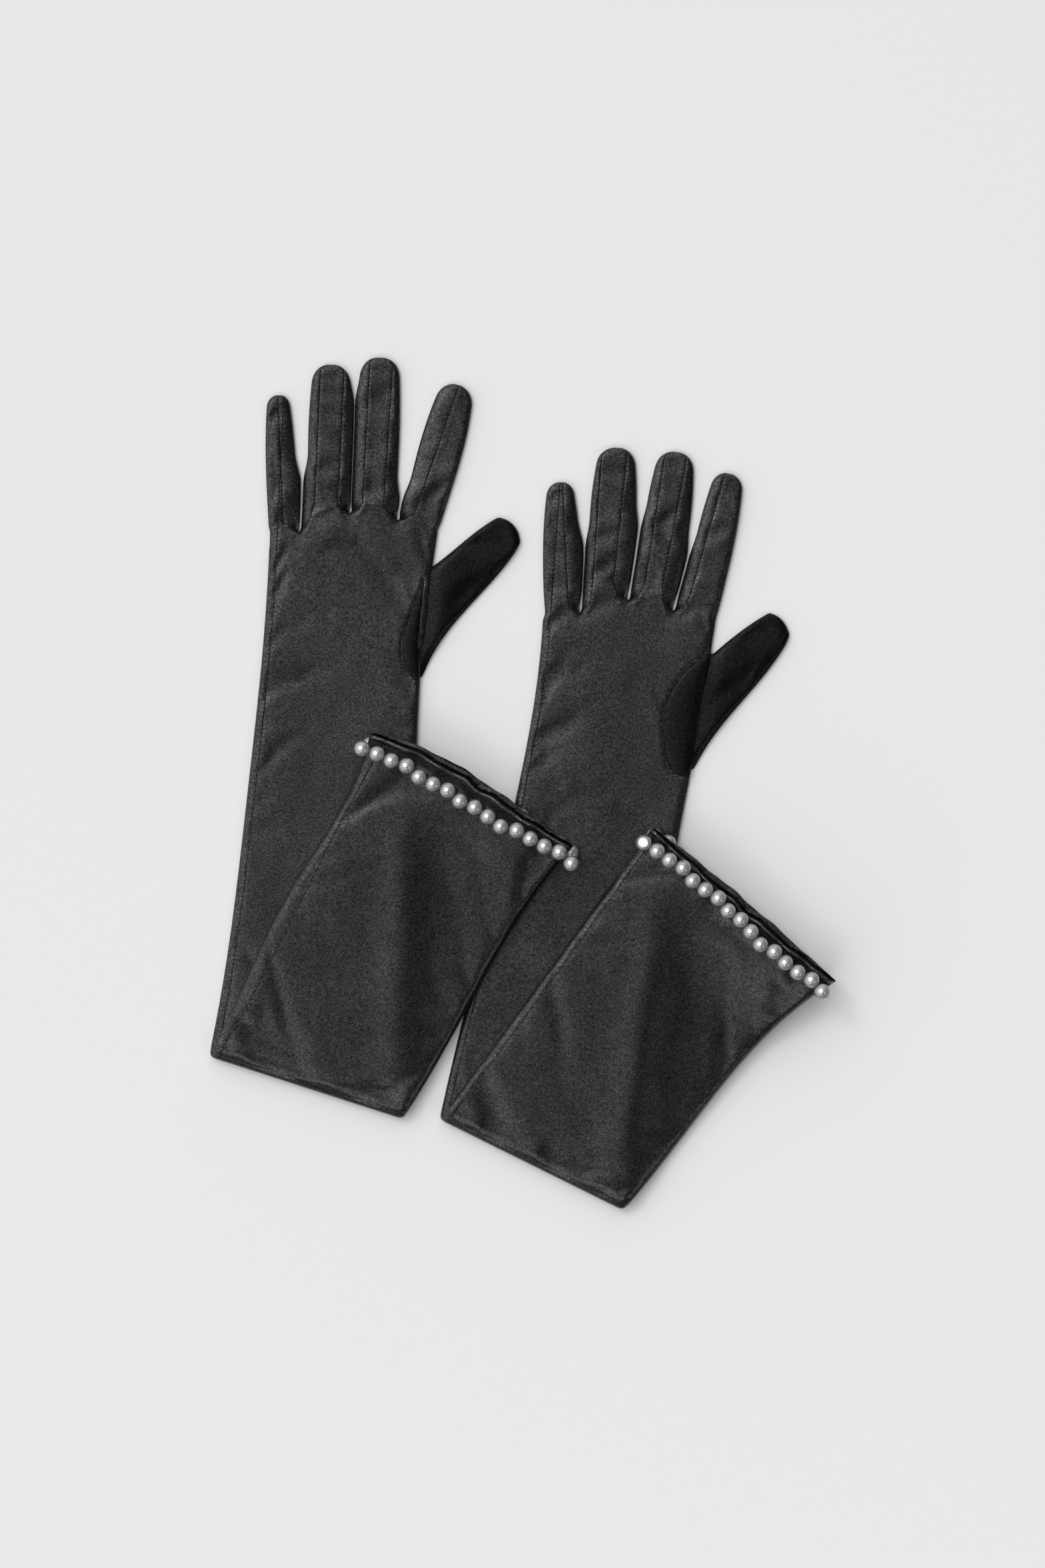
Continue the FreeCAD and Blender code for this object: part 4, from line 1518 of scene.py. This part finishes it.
def stitch(side, pieces):
    """The side seam's stitches on hand, arm and cuff, and the gusset's."""
    flat = tree_over([pieces[f"{side}_{name}"] for name in ("hand", "arm", "little_sheath", "thumb_gusset")])
    top = tree_over([pieces[f"{side}_sleeve"]])
    for part in ("hand", "arm"):
        row = stitch_piece(f"{side}_{part}_side_stitches", f"{side}_{part}_side_seam", flat)
        across_joint(row, *wrist_bend(side))
    cuff = stitch_piece(f"{side}_cuff_side_stitches", f"{side}_cuff_side_seam", top)
    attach(cuff, f"{side}_cuff")
    thumb = stitch_piece(f"{side}_thumb_stitches", f"{side}_thumb_seam", flat)
    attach(thumb, f"{side}_hand")


def make_glove(side):
    plan = Plan(side)
    cloth, arm = build_cloth(plan)
    flat_heights(plan, cloth)
    rows, out = add_sleeve(plan, cloth)
    add_roll(plan, cloth, arm, rows)
    add_hem(plan, cloth, rows, out)
    add_thumb(plan, cloth)
    add_gusset(plan, cloth)
    obj = mesh_object(f"{side}_cloth", cloth.points, cloth.cells, cloth.parts)
    set_coordinates(obj.data, puff(obj, cloth))
    subdivide(obj)
    mesh = obj.data
    tags = np.zeros(len(mesh.vertices), dtype=np.int32)
    for polygon in mesh.polygons:
        for vertex in polygon.vertices:
            tags[vertex] = polygon.material_index
    points, marks = relief(plan, coordinates(mesh), vertex_normals(mesh), tags, cloth.names)
    points[:, 2] = np.maximum(points[:, 2], LOWEST)
    set_coordinates(mesh, points)
    pieces = split(obj, [f"{side}_{name}" for name in cloth.names], vertex_normals(mesh), marks)
    hang_pieces(plan, pieces)
    bpy.context.view_layer.update()
    stitch(side, pieces)
    pearl_piece(side)


# ---- floor, light and camera ----------------------------------------------
CAMERA_HEIGHT = 3.2      # metres; a long lens straight above, as a flat-lay is shot
FIELD_HEIGHT = 0.800     # metres of floor seen from top to bottom
FIELD_MIDDLE = (0.0, -0.0014)
SENSOR = 36.0
SKY_TOWARDS = (-0.84, 0.54, 0.0)
SKY_SPREAD = 0.26
SKY_DARK = 0.07
SKY_LIGHT = 1.70
FLOOR_SIZE = 4.0         # metres
FLOOR_LEVEL = -0.3       # millimetres
LAMPS = (                # name, place and size in metres, power in watts
    ("key", (-2.4, 2.2, 4.0), 1.6, 50.0),
    ("low", (-0.8, -2.7, 3.0), 1.4, 24.0),
    ("fill", (3.0, -2.0, 2.6), 2.0, 22.0),
)


def light_sky(tree):
    """A studio round the table: bright screens on one side, dark cloth on the other."""
    place = tree.nodes.new("ShaderNodeTexCoord")
    dot = tree.nodes.new("ShaderNodeVectorMath")
    dot.operation = "DOT_PRODUCT"
    dot.inputs[1].default_value = SKY_TOWARDS
    spread = tree.nodes.new("ShaderNodeMapRange")
    spread.interpolation_type = "SMOOTHSTEP"
    ends = {"From Min": -SKY_SPREAD, "From Max": SKY_SPREAD, "To Min": SKY_DARK, "To Max": SKY_LIGHT}
    for name, value in ends.items():
        spread.inputs[name].default_value = value
    tree.links.new(place.outputs["Generated"], dot.inputs[0])
    tree.links.new(dot.outputs["Value"], spread.inputs["Value"])
    tree.links.new(spread.outputs["Result"], tree.nodes["Background"].inputs["Strength"])
    tree.nodes["Background"].inputs["Color"].default_value = (1, 1, 1, 1)


def add_light(name, place, size, power):
    data = bpy.data.lights.new(name, "AREA")
    data.size = size
    data.energy = power
    lamp = bpy.data.objects.new(name, data)
    lamp.location = place
    lamp.rotation_euler = (-Vector(place)).to_track_quat("-Z", "Y").to_euler()
    bpy.context.collection.objects.link(lamp)


def studio():
    """The floor, the light and a camera straight above."""
    reach = FLOOR_SIZE / MM / 2
    corners = [(x * reach, y * reach, FLOOR_LEVEL) for x, y in ((-1, -1), (1, -1), (1, 1), (-1, 1))]
    floor = mesh_object("floor", corners, [(0, 1, 2, 3)])
    floor.data.materials.append(floor_material())
    world = bpy.data.worlds.new("studio")
    world.use_nodes = True
    light_sky(world.node_tree)
    bpy.context.scene.world = world
    for lamp in LAMPS:
        add_light(*lamp)
    camera = bpy.data.cameras.new("camera")
    camera.sensor_width = SENSOR
    camera.lens = SENSOR * CAMERA_HEIGHT / FIELD_HEIGHT
    camera.clip_end = 20.0
    eye = bpy.data.objects.new("camera", camera)
    eye.location = (*FIELD_MIDDLE, CAMERA_HEIGHT)
    bpy.context.collection.objects.link(eye)
    bpy.context.scene.camera = eye
    bpy.context.scene.view_settings.view_transform = "Standard"


for side in SIDES:
    make_glove(side)
studio()
